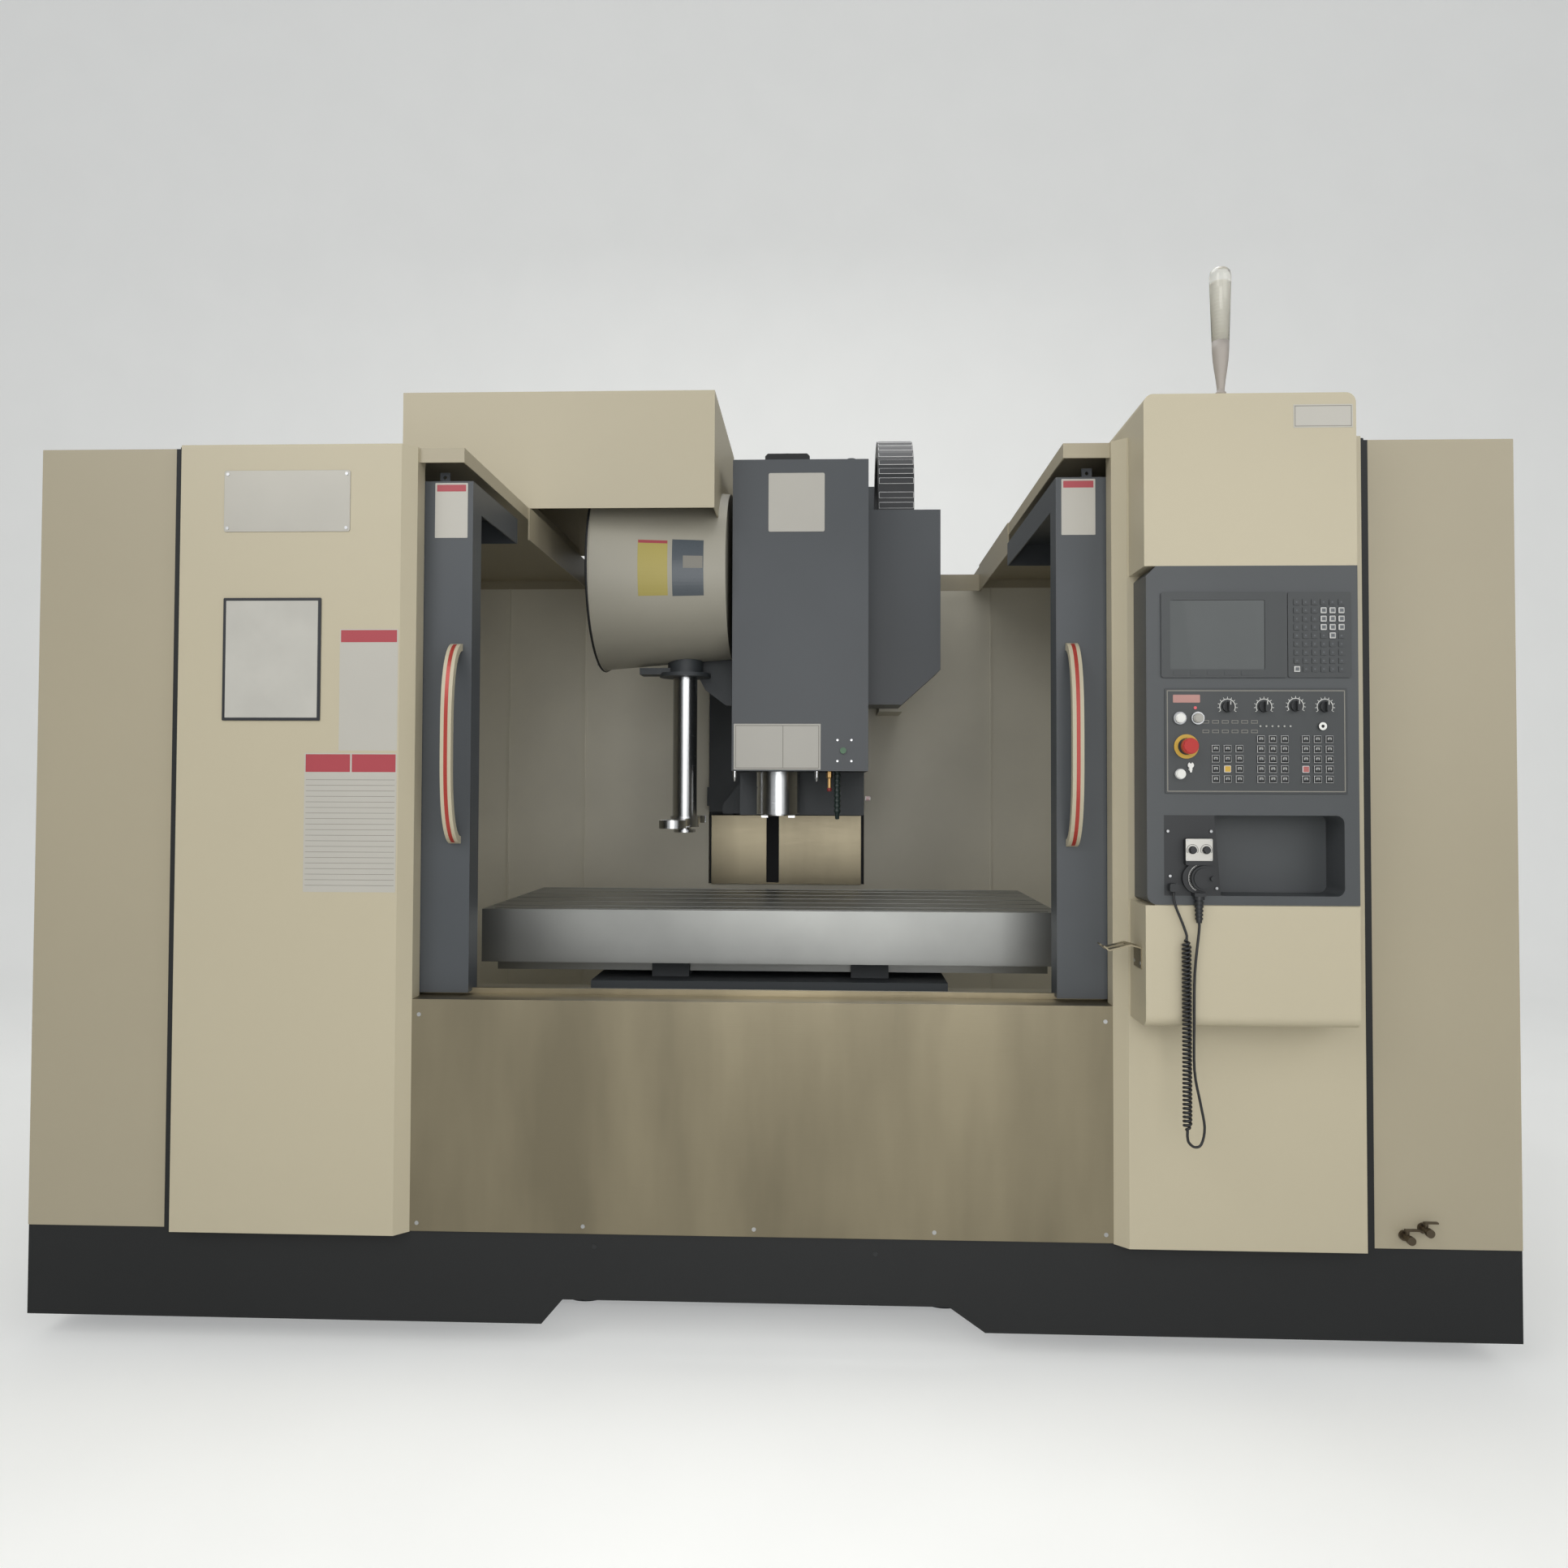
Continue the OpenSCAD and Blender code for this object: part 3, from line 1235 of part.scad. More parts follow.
// Pot that tips down for the tool change, with its ear and hinge pin
module tool_pot() {
  ear = 30;
  color("#b8862f") from_face() at_angle(0) {
    difference() {
      pot_body();
      pot_bore();
    }
    difference() {
      translate([hinge_x - 8, -ear, -hinge_r - 6]) cube([28, 2 * ear, 14]);
      translate([pot_left - 1, 0, -pot_circle]) rotate([0, 90, 0]) cylinder(d = pot_d - 4, h = pot_len);
    }
    translate([hinge_x, -lug_half - 5, -hinge_r]) rotate([-90, 0, 0])
      cylinder(d = hinge_pin_d, h = 2 * lug_half + 10);
  }
}

module arm_shaft() {
  color("#b5b7b7") from_face() {
    rod_z(arm_x, spindle_y, arm_shaft_d, arm_z + gap, drum_z - 200);
    rod_z(arm_x, spindle_y, arm_shaft_d * 0.55, arm_z - arm_t - 12, arm_z + gap);
    rod_z(arm_x, spindle_y, arm_shaft_d * 0.9, arm_z - arm_t - 20, arm_z - arm_t - 10);
  }
}

// Double arm: hub, two beams and open grippers
module tool_arm() {
  beam = 58;
  hub_d = arm_shaft_d + 16;
  grip_d = 96;
  jaw_d = 63;
  color("#9a9c9c") from_face() translate([arm_x, spindle_y, arm_z - arm_t]) difference() {
    union() {
      cylinder(d = hub_d, h = arm_t);
      translate([-beam / 2, -arm_reach + 20, 6]) cube([beam, 2 * arm_reach - 40, arm_t - 12]);
      for (a = [0, 180]) rotate([0, 0, a]) translate([0, arm_reach, 6]) cylinder(d = grip_d, h = arm_t - 12);
    }
    for (a = [0, 180]) rotate([0, 0, a]) {
      translate([0, arm_reach, -1]) cylinder(d = jaw_d, h = arm_t + 2);
      translate([0, arm_reach - 24, -1]) cube([grip_d, 48, arm_t + 2]);
    }
    translate([0, 0, -1]) cylinder(d = arm_shaft_d * 0.55 + 0.2, h = arm_t + 2);
  }
}

// Door of the cabinet with its vents and the knuckles of its hinges
module cabinet_door() {
  y0 = back_reach - cabinet_door_t;
  h = cabinet_half;
  vent_half = h * 0.46;
  color("#e8e6da") from_face() {
    for (z = [cabinet_z0 + 150, (cabinet_z0 + cabinet_z1) / 2, cabinet_z1 - 230])
      rod_z(h, back_reach - cabinet_door_t / 2, 16, z, z + 80);
    difference() {
      block(-h, h, y0, back_reach, cabinet_z0, cabinet_z1);
      block(-h + 30, h - 30, y0 - 1, back_reach - 3, cabinet_z0 + 30, cabinet_z1 - 30);
      for (k = [0 : 5]) block(-vent_half, vent_half, back_reach - 4, back_reach + 1, 480 + 30 * k, 492 + 30 * k);
    }
  }
}

module main_switch() {
  y = cabinet_front + cabinet_depth * 0.46;
  x = cabinet_half;
  color("#b3261e") from_face() {
    rod_x(y, switch_z, 62, x + gap, x + 12);
    along(x + 12, x + 34) round_rect(y - 30, y + 30, switch_z - 9, switch_z + 9, 8);
  }
}

// Red mushroom head on its plunger
module estop_button() {
  color("#c4231b") from_face() {
    rod_y(estop_x, estop_z, push_d, panel_y - 26, panel_y);
    rod_y(estop_x, estop_z, estop_d - 6, panel_y - estop_out, panel_y - estop_out + 4);
    rod_y(estop_x, estop_z, estop_d, panel_y - estop_out + 4, panel_y - 26);
  }
}

module push_button(x, z) {
  rod_y(x, z, push_d, panel_y - push_out + 3, panel_y);
  rod_y(x, z, push_d - 4, panel_y - push_out, panel_y - push_out + 3);
}

module power_on_button() {
  color("#e9e9e4") from_face() push_button(1065, 1695);
}

module power_off_button() {
  color("#8f9496") from_face() push_button(1109.5, 1695);
}

module start_button() {
  color("#e9e9e4") from_face() push_button(1065, 1555);
}

module selector(x, z) {
  y0 = panel_y - plate_t - gap;
  rod_y(x, z, selector_d, y0 - 10, y0);
  across(y0 - 24, y0 - 10) translate([x, z]) round_rect(-4, 4, -selector_d / 2 + 1, selector_d / 2 - 1, 3);
}

module selector_mode() {
  color("#26292c") from_face() selector(1184, 1724);
}

module selector_feed() {
  color("#26292c") from_face() selector(1274, 1724);
}

module selector_rapid() {
  color("#26292c") from_face() selector(1352, 1726);
}

module selector_override() {
  color("#26292c") from_face() selector(1424, 1724);
}

module handwheel() {
  y0 = panel_y - 14 - gap;
  color("#2b2e30") from_face() {
    rod_y(pendant_x + 10, 1296, 62, y0 - 12, y0);
    rod_y(pendant_x + 10, 1296, 50, y0 - 16, y0 - 12);
    rod_y(pendant_x + 28, 1296, 12, y0 - 26, y0 - 16);
  }
}

// Lock whose turning face has a white ring
module key_switch() {
  x = 1416;
  z = 1675;
  y0 = panel_y - plate_t - gap;
  ring_d = 20;
  color("#e9e9e4") from_face() difference() {
    rod_y(x, z, ring_d, y0 - 6, y0);
    rod_y(x, z, ring_d / 3, y0 - 7, y0 - 3);
  }
}

// Flat white key in its lock, with a forked bow above
module program_key() {
  x = 1091;
  z = 1567;
  y0 = panel_y - plate_t - gap;
  color("#e9e9e4") from_face() {
    rod_y(x, z, 9, y0 - 3, y0);
    across(y0 - 6, y0 - 3) difference() {
      union() {
        polygon([[x - 2, z - 8], [x + 2, z - 8], [x + 4, z + 6], [x - 4, z + 6]]);
        translate([x, z + 10]) circle(d = 15);
      }
      translate([x, z + 17]) circle(d = 6);
    }
  }
}

bed();
column();
z_drive();
base_skirt();
outer_panels();
main_panels();
sill_panel();
roof_panels();
splash_walls();
way_cover();
operator_hood();
operator_console();
display_unit();
control_plate();
lower_box();
pendant_hook();
socket_plate();
pendant();
axis_knob();
scale_knob();
pendant_gland();
pendant_cord();
signal_lamp();
magazine_hood();
magazine_cover();
arm_drive();
electrical_cabinet();
hose_valves();
door_left();
door_right();
window_left();
window_right();
handle_left();
handle_right();
saddle();
table();
head_casting();
head_cover();
head_fittings();
cable_chain();
spindle_housing();
spindle();
unclamp_button();
magazine_disc();
tool_pot();
arm_shaft();
tool_arm();
cabinet_door();
main_switch();
estop_button();
power_on_button();
power_off_button();
start_button();
selector_mode();
selector_feed();
selector_rapid();
selector_override();
handwheel();
key_switch();
program_key();
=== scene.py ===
import bpy
import bmesh
import math
from mathutils import Matrix, Vector


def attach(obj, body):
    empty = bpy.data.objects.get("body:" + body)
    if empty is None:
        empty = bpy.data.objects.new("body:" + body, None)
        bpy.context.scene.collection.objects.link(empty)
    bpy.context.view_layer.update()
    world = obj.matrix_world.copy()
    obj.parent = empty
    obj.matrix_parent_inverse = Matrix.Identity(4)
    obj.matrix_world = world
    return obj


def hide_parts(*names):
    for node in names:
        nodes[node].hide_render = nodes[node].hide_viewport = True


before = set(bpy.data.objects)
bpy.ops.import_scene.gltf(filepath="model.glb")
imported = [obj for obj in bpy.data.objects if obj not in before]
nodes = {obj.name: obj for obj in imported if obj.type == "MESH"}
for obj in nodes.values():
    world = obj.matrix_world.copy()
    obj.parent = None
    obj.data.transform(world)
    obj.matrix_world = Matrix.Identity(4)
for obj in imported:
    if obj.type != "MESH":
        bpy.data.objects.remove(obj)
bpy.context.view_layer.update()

scene = bpy.context.scene


# The camera stands where the photograph was taken from, a little right of the middle at eye height.
# It looks slightly left and up, and its frame sits a little low.
front_face = -1527.5


def at(x, y, z):
    """A point in millimetres, y counted from the front face of the panels, as metres in the frame."""
    return Vector((x / 1000, (y + front_face) / 1000, z / 1000))


camera = bpy.data.objects.new("camera", bpy.data.cameras.new("camera"))
scene.collection.objects.link(camera)
scene.camera = camera
camera.location = at(184.7, -3113, 1514)
pan, tilt, roll = 0.0376, 0.0250, 0.0034
camera.rotation_euler = (
    Matrix.Rotation(pan, 3, "Z") @ Matrix.Rotation(math.pi / 2 + tilt, 3, "X")
    @ Matrix.Rotation(roll, 3, "Z")
).to_euler()
photo_px, focal_px, sensor_mm = 1932, 1439.4, 36
camera.data.sensor_width = sensor_mm
camera.data.lens = sensor_mm * focal_px / photo_px
camera.data.shift_y = -0.0154
camera.data.clip_end = 100


# Curly cord of the hand pendant: a PVC-sheathed control cable of 7 mm, straight at both ends.
# It leaves the gland, hangs in a loop, comes up as a tight coil and goes into the black plate.
def linear(code):
    """A colour written as sRGB hex, in linear values."""
    parts = [int(code[k:k + 2], 16) / 255 for k in (1, 3, 5)]
    return [c / 12.92 if c <= 0.04045 else ((c + 0.055) / 1.055) ** 2.4 for c in parts] + [1.0]


def add(tree, kind, settings=None, inputs=None):
    """One node of a tree with its settings, and its inputs as values or as links."""
    made = tree.nodes.new(kind)
    for key, value in (settings or {}).items():
        setattr(made, key, value)
    for key, value in (inputs or {}).items():
        if isinstance(value, bpy.types.NodeSocket):
            tree.links.new(value, made.inputs[key])
        else:
            made.inputs[key].default_value = value
    return made


def finish_of(name, colour, rough, metal=0.0, grain_mm=2.0, grain=0.04, patch_mm=400.0, patch=0.06,
              stretch=(1, 1, 1), coat=0.0, rough_spread=0.08, cloud=(1, 1, 1)):
    """A material of one colour with its fine grain as bump and a soft change of tone over its patches.

    grain_mm and patch_mm are their sizes; stretch draws out the grain along an axis, and cloud the patches.
    """
    mat = bpy.data.materials.new(name)
    mat.use_nodes = True
    tree = mat.node_tree
    shader = tree.nodes["Principled BSDF"]
    place = add(tree, "ShaderNodeTexCoord")
    drawn = add(tree, "ShaderNodeMapping", None, {"Vector": place.outputs["Object"], "Scale": cloud})
    wide = add(tree, "ShaderNodeTexNoise", None,
               {"Vector": drawn.outputs["Vector"], "Scale": 1000 / patch_mm, "Detail": 4.0})
    dark = [c * (1 - patch) for c in linear(colour)[:3]] + [1.0]
    light = [min(1.0, c * (1 + patch * 0.5)) for c in linear(colour)[:3]] + [1.0]
    tone = add(tree, "ShaderNodeValToRGB", None, {"Fac": wide.outputs["Fac"]})
    tone.color_ramp.elements[0].position = 0.35
    tone.color_ramp.elements[0].color = dark
    tone.color_ramp.elements[1].position = 0.65
    tone.color_ramp.elements[1].color = light
    combed = add(tree, "ShaderNodeMapping", None, {"Vector": place.outputs["Object"], "Scale": stretch})
    fine = add(tree, "ShaderNodeTexNoise", None,
               {"Vector": combed.outputs["Vector"], "Scale": 1000 / grain_mm, "Detail": 3.0})
    bump = add(tree, "ShaderNodeBump", None,
               {"Height": fine.outputs["Fac"], "Strength": grain, "Distance": 0.001})
    gloss = add(tree, "ShaderNodeMapRange", None,
                {"Value": fine.outputs["Fac"], "To Min": max(0.03, rough - rough_spread),
                 "To Max": min(1.0, rough + rough_spread)})
    tree.links.new(tone.outputs["Color"], shader.inputs["Base Color"])
    tree.links.new(gloss.outputs["Result"], shader.inputs["Roughness"])
    tree.links.new(bump.outputs["Normal"], shader.inputs["Normal"])
    shader.inputs["Metallic"].default_value = metal
    shader.inputs["Coat Weight"].default_value = coat
    return mat


def piece(name, verts, faces, mat, body, slot, smooth=False):
    """A mesh piece with its faces outwards, riding on its body; its slot is not used."""
    mesh = bpy.data.meshes.new(name)
    mesh.from_pydata([tuple(v) for v in verts], [], faces)
    work = bmesh.new()
    work.from_mesh(mesh)
    bmesh.ops.remove_doubles(work, verts=work.verts, dist=1e-6)
    bmesh.ops.recalc_face_normals(work, faces=work.faces)
    work.to_mesh(mesh)
    work.free()
    mesh.materials.append(mat)
    for face in mesh.polygons:
        face.use_smooth = smooth
    made = bpy.data.objects.new(name, mesh)
    scene.collection.objects.link(made)
    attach(made, body)
    return made


def skin(rings, sides, closed=False):
    """The faces between rings of points that follow each other, and back to the first where it is closed."""
    faces = []
    for i in range(rings if closed else rings - 1):
        j = (i + 1) % rings
        for k in range(sides):
            m = (k + 1) % sides
            faces.append([i * sides + k, i * sides + m, j * sides + m, j * sides + k])
    return faces


def tube(path, radius, sides):
    """Points and faces of a tube along a path in metres, closed at both ends."""
    verts = []
    side = None
    for i, p in enumerate(path):
        ahead = (path[min(i + 1, len(path) - 1)] - path[max(i - 1, 0)]).normalized()
        if side is None:
            side = ahead.orthogonal().normalized()
        side = (side - ahead * side.dot(ahead)).normalized()
        other = ahead.cross(side)
        for k in range(sides):
            a = 2 * math.pi * k / sides
            verts.append(p + (side * math.cos(a) + other * math.sin(a)) * radius)
    last = (len(path) - 1) * sides
    ends = [list(range(sides))[::-1], list(range(last, last + sides))]
    return verts, skin(len(path), sides) + ends


def blend(points, steps):
    """A smooth line through points, with so many steps from each to the next."""
    last = len(points) - 1
    line = []
    for i in range(last):
        a, b = points[max(i - 1, 0)], points[i]
        c, d = points[i + 1], points[min(i + 2, last)]
        for k in range(steps):
            t = k / steps
            line.append(0.5 * ((2 * b) + (c - a) * t + (2 * a - 5 * b + 4 * c - d) * t * t
                               + (3 * b - a - 3 * c + d) * t * t * t))
    return line + [points[last]]


cord_depth = -165
loop = [at(x, cord_depth, z) for x, z in (
    (1107, 1185), (1107, 1165), (1096, 1060), (1094, 940), (1094, 820), (1108, 740), (1118, 681),
    (1110, 640), (1094, 632), (1080, 642), (1076, 656), (1076, 670))]
lead = [at(x, cord_depth, z) for x, z in (
    (1076, 1146), (1076, 1156), (1064, 1190), (1050, 1225), (1045, 1248), (1045, 1262))]
turns, per_turn, coil_radius = 46, 14, 8.8
coil_x, coil_low, coil_high = 1076, 670, 1146
coil_line = []
for k in range(turns * per_turn + 1):
    share = k / (turns * per_turn)
    ease = min(1, share * 30, (1 - share) * 30)
    a = 2 * math.pi * turns * share
    coil_line.append(at(coil_x + coil_radius * ease * math.cos(a),
                        cord_depth + coil_radius * ease * math.sin(a),
                        coil_low + (coil_high - coil_low) * share))
cord_line = blend(loop, 4)[:-1] + coil_line + blend(lead, 4)[1:]
pvc = finish_of("black PVC sheath", "#1c1d1f", 0.42, grain_mm=3, grain=0.03)
cord_radius = 0.0034
cord = piece("pendant_lead", *tube(cord_line, cord_radius, 8), pvc, "machine", "black_cable", smooth=True)
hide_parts("pendant_cord")


# Floor and light of the studio: a plain pale floor swept up into a wall, four large soft lamps and a
# pale world. They belong to the room and not to the machine. The wall is clear when seen from behind.
floor_mat = finish_of("pale studio floor", "#dcdcd8", 0.6, grain_mm=30, grain=0.02, patch=0.02)
floor_front, wall_y, wall_top, floor_side, sweep_radius = -9, 5.5, 12, 18, 1.5
sweep = [(floor_front, 0.0)]
for k in range(9):
    a = math.pi / 16 * k
    sweep.append((wall_y - sweep_radius + sweep_radius * math.sin(a),
                  sweep_radius - sweep_radius * math.cos(a)))
sweep.append((wall_y, wall_top))
backdrop_mesh = bpy.data.meshes.new("floor")
backdrop_mesh.from_pydata([(x, y, z) for y, z in sweep for x in (-floor_side, floor_side)], [],
                          [[2 * k, 2 * k + 1, 2 * k + 3, 2 * k + 2] for k in range(len(sweep) - 1)])
backdrop_mesh.materials.append(floor_mat)
floor_tree = floor_mat.node_tree
floor_path = add(floor_tree, "ShaderNodeLightPath")
floor_seen = add(floor_tree, "ShaderNodeMath", {"operation": "MAXIMUM"},
                 {0: floor_path.outputs["Is Camera Ray"], 1: floor_path.outputs["Is Transmission Ray"]})
floor_glow = add(floor_tree, "ShaderNodeMapRange", None, {"Value": floor_seen.outputs["Value"],
                                                          "To Min": 0.0, "To Max": 0.36})
floor_shader = floor_tree.nodes["Principled BSDF"]
floor_tree.links.new(floor_glow.outputs["Result"], floor_shader.inputs["Emission Strength"])
floor_shader.inputs["Emission Color"].default_value = linear("#f2f4f5")
floor_facing = add(floor_tree, "ShaderNodeNewGeometry")
floor_clear = add(floor_tree, "ShaderNodeBsdfTransparent")
floor_sides = add(floor_tree, "ShaderNodeMixShader", None,
                  {0: floor_facing.outputs["Backfacing"], 1: floor_shader.outputs["BSDF"],
                   2: floor_clear.outputs["BSDF"]})
floor_tree.links.new(floor_sides.outputs["Shader"], floor_tree.nodes["Material Output"].inputs["Surface"])
for face in backdrop_mesh.polygons:
    face.use_smooth = True
backdrop = bpy.data.objects.new("floor", backdrop_mesh)
scene.collection.objects.link(backdrop)
world = bpy.data.worlds.new("studio")
world.use_nodes = True
scene.world = world
sky = world.node_tree.nodes["Background"]
path = add(world.node_tree, "ShaderNodeLightPath")
seen = add(world.node_tree, "ShaderNodeMath", {"operation": "MAXIMUM"},
           {0: path.outputs["Is Camera Ray"], 1: path.outputs["Is Transmission Ray"]})
mirrored = add(world.node_tree, "ShaderNodeMath", {"operation": "MULTIPLY_ADD"},
               {0: path.outputs["Is Glossy Ray"], 1: 0.45, 2: seen.outputs["Value"]})
level = add(world.node_tree, "ShaderNodeMapRange", None,
            {"Value": mirrored.outputs["Value"], "To Min": 0.34, "To Max": 0.88})
world.node_tree.links.new(level.outputs["Result"], sky.inputs["Strength"])
sky.inputs["Color"].default_value = linear("#f4f6f8")
# Each lamp's place, the point that it faces, its size in metres and its power in watts.
for name, spot, aim, size, power in (
        ("key_lamp", (-3.2, -6.5, 5.2), (0, -0.6, 1.2), 3.5, 120),
        ("fill_lamp", (4.2, -6.0, 3.8), (0, -0.6, 1.2), 4.0, 80),
        ("front_lamp", (0.4, -5.6, 1.9), (0, 0.4, 1.6), 2.6, 62),
        ("top_lamp", (0.0, 0.2, 6.5), (0, 0.0, 1.0), 4.0, 150)):
    lamp = bpy.data.objects.new(name, bpy.data.lights.new(name, "AREA"))
    lamp.data.size = size
    lamp.data.energy = power
    lamp.location = spot
    lamp.rotation_euler = (Vector(aim) - Vector(spot)).to_track_quat("-Z", "Y").to_euler()
    scene.collection.objects.link(lamp)
scene.view_settings.view_transform = "Standard"


# Cream sheet steel of the enclosure, folded and powder coated: an even satin skin with a fine orange
# peel, drawn coarser than the real one so that it shows. Both outside creams are painted darker than the
# paint itself, as painted shade on the shaded outside faces. The outer panels, roofs and cabinet carry
# the deeper painted shade, and the front panels and hoods a tone lighter.
def paint(mat, *names):
    """The material on all slots of these nodes."""
    for name in names:
        for place in nodes[name].material_slots:
            place.material = mat


# Painted shade: the first cream is darkened most, and the second is the same cream with lighter painted
# shade.
cream = finish_of("cream powder coat", "#aaa18a", 0.42, grain_mm=4, grain=0.05, patch_mm=900, patch=0.03)
cream_less_shaded = finish_of("cream powder coat with lighter painted shade", "#bdb49b", 0.4, grain_mm=4, grain=0.05,
                        patch_mm=900, patch=0.02)
paint(cream, "outer_panels", "roof_panels", "electrical_cabinet", "cabinet_door")
paint(cream_less_shaded, "main_panels", "operator_hood", "lower_box", "magazine_hood")


# Inner splash walls: steel sheet in the same cream, which coolant mist has made duller and uneven.
# The drum cover is a rolled and welded cylinder in a slightly greyer tone.
inside = finish_of("dulled cream coat", "#dfdac9", 0.5, grain_mm=5, grain=0.05, patch_mm=500, patch=0.07)
paint(inside, "splash_walls")
drum_grey = finish_of("grey cream coat", "#a9a597", 0.45, grain_mm=4, grain=0.05, patch_mm=300, patch=0.05)
paint(drum_grey, "magazine_cover")


# Base skirt, corner profiles and Z drive: folded sheet with a near black textured coat that stays matt.
# The doors, the head covers and the console have a smoother coat in dark blue grey with a soft gloss.
anthracite = finish_of("anthracite textured coat", "#111314", 0.62, grain_mm=2, grain=0.1, patch=0.08)
paint(anthracite, "base_skirt", "z_drive")
slate = finish_of("dark slate coat", "#45494d", 0.42, grain_mm=3, grain=0.06, patch=0.06)
paint(slate, "head_cover", "door_left", "door_right")
console_grey = finish_of("console grey coat", "#46494b", 0.45, grain_mm=2, grain=0.08, patch=0.05)
paint(console_grey, "operator_console")


# Sill sheet and beam of stainless steel, brushed, which draws the gloss out. Its soft upright bands
# of lighter and darker tone are a painted reflection of that drawn-out gloss.
# The way plates in front of the Z rails and the pendant hook are of the same sheet.
def brushed(name, colour, rough, reflection_band_mm):
    """A metal with fine lines in one direction and painted reflection bands drawn out across them."""
    # The patches, drawn out upright, are painted reflection bands in the tone of the metal.
    mat = finish_of(name, colour, rough, metal=1.0, grain_mm=1.6, grain=0.12, patch_mm=reflection_band_mm,
                    patch=0.24, stretch=(0.02, 0.02, 1.0), rough_spread=0.07, cloud=(1, 1, 0.22))
    mat.node_tree.nodes["Principled BSDF"].inputs["Anisotropic"].default_value = 0.5
    return mat


stainless = brushed("brushed stainless steel", "#958c76", 0.36, 300)
paint(stainless, "sill_panel", "way_cover", "pendant_hook")


# Castings of grey iron: the coarse skin of the mould still shows through their dark paint. The table
# and the magazine disc are ground iron; spindle, housing, arm shaft and arm are ground steel.
iron_paint = finish_of("painted grey iron", "#3d4144", 0.55, grain_mm=8, grain=0.15, patch=0.08)
paint(iron_paint, "bed", "column", "saddle", "head_casting", "arm_drive")
ground_iron = finish_of("ground grey iron", "#9b9c99", 0.38, metal=1.0, grain_mm=2, grain=0.08, patch=0.12)
paint(ground_iron, "table", "magazine_disc")
ground_steel = finish_of("ground steel", "#c6c7c8", 0.24, metal=1.0, grain_mm=1.5, grain=0.05,
                         stretch=(0.05, 0.05, 1), patch=0.05)
paint(ground_steel, "spindle", "arm_shaft", "tool_arm", "spindle_housing")


# Window panes of clear polycarbonate in the doors, cut from smooth sheet, with a faint green tint.
# Each sits in a rubber profile.
glass = bpy.data.materials.new("clear polycarbonate")
glass.use_nodes = True
pane = glass.node_tree.nodes["Principled BSDF"]
pane.inputs["Base Color"].default_value = linear("#dfe8e6")
pane.inputs["Roughness"].default_value = 0.05
pane.inputs["Transmission Weight"].default_value = 0.9
pane.inputs["IOR"].default_value = 1.58
paint(glass, "window_left", "window_right")


# Small moulded parts: ABS knobs and button caps with a satin skin and the tipping tool pot of ochre
# nylon. The handles are coated in the cream with the lighter painted shade. The fittings are turned brass,
# aged on the outside.
black_abs = finish_of("moulded black ABS", "#202224", 0.4, grain_mm=2, grain=0.06)
paint(black_abs, "socket_plate", "pendant_gland", "pendant", "axis_knob", "scale_knob", "handwheel",
      "selector_mode", "selector_feed", "selector_rapid", "selector_override", "key_switch", "cable_chain")
paint(console_grey, "control_plate")
white_abs = finish_of("moulded white ABS", "#e6e6e1", 0.35, grain_mm=2, grain=0.03)
paint(white_abs, "power_on_button", "start_button", "program_key")
grey_abs = finish_of("moulded grey ABS cap", "#a5a39c", 0.35, grain_mm=2, grain=0.03)
paint(grey_abs, "power_off_button")
red_abs = finish_of("moulded red ABS", "#b3221b", 0.32, grain_mm=2, grain=0.03)
paint(red_abs, "estop_button", "main_switch")
green_abs = finish_of("moulded green ABS", "#3c6b46", 0.35, grain_mm=2, grain=0.03)
paint(green_abs, "unclamp_button")
brass = finish_of("turned brass", "#8a6f48", 0.3, metal=1.0, grain_mm=1, grain=0.05)
paint(brass, "head_fittings")
bronze = finish_of("aged dark brass", "#62584a", 0.38, metal=1.0, grain_mm=2, grain=0.1)
paint(bronze, "hose_valves")
ochre = finish_of("moulded ochre nylon", "#b5862f", 0.45, grain_mm=2, grain=0.05)
paint(ochre, "tool_pot")
# The handles and the signal lamp take the cream with the lighter painted shade.
paint(cream_less_shaded, "handle_left", "handle_right", "signal_lamp")


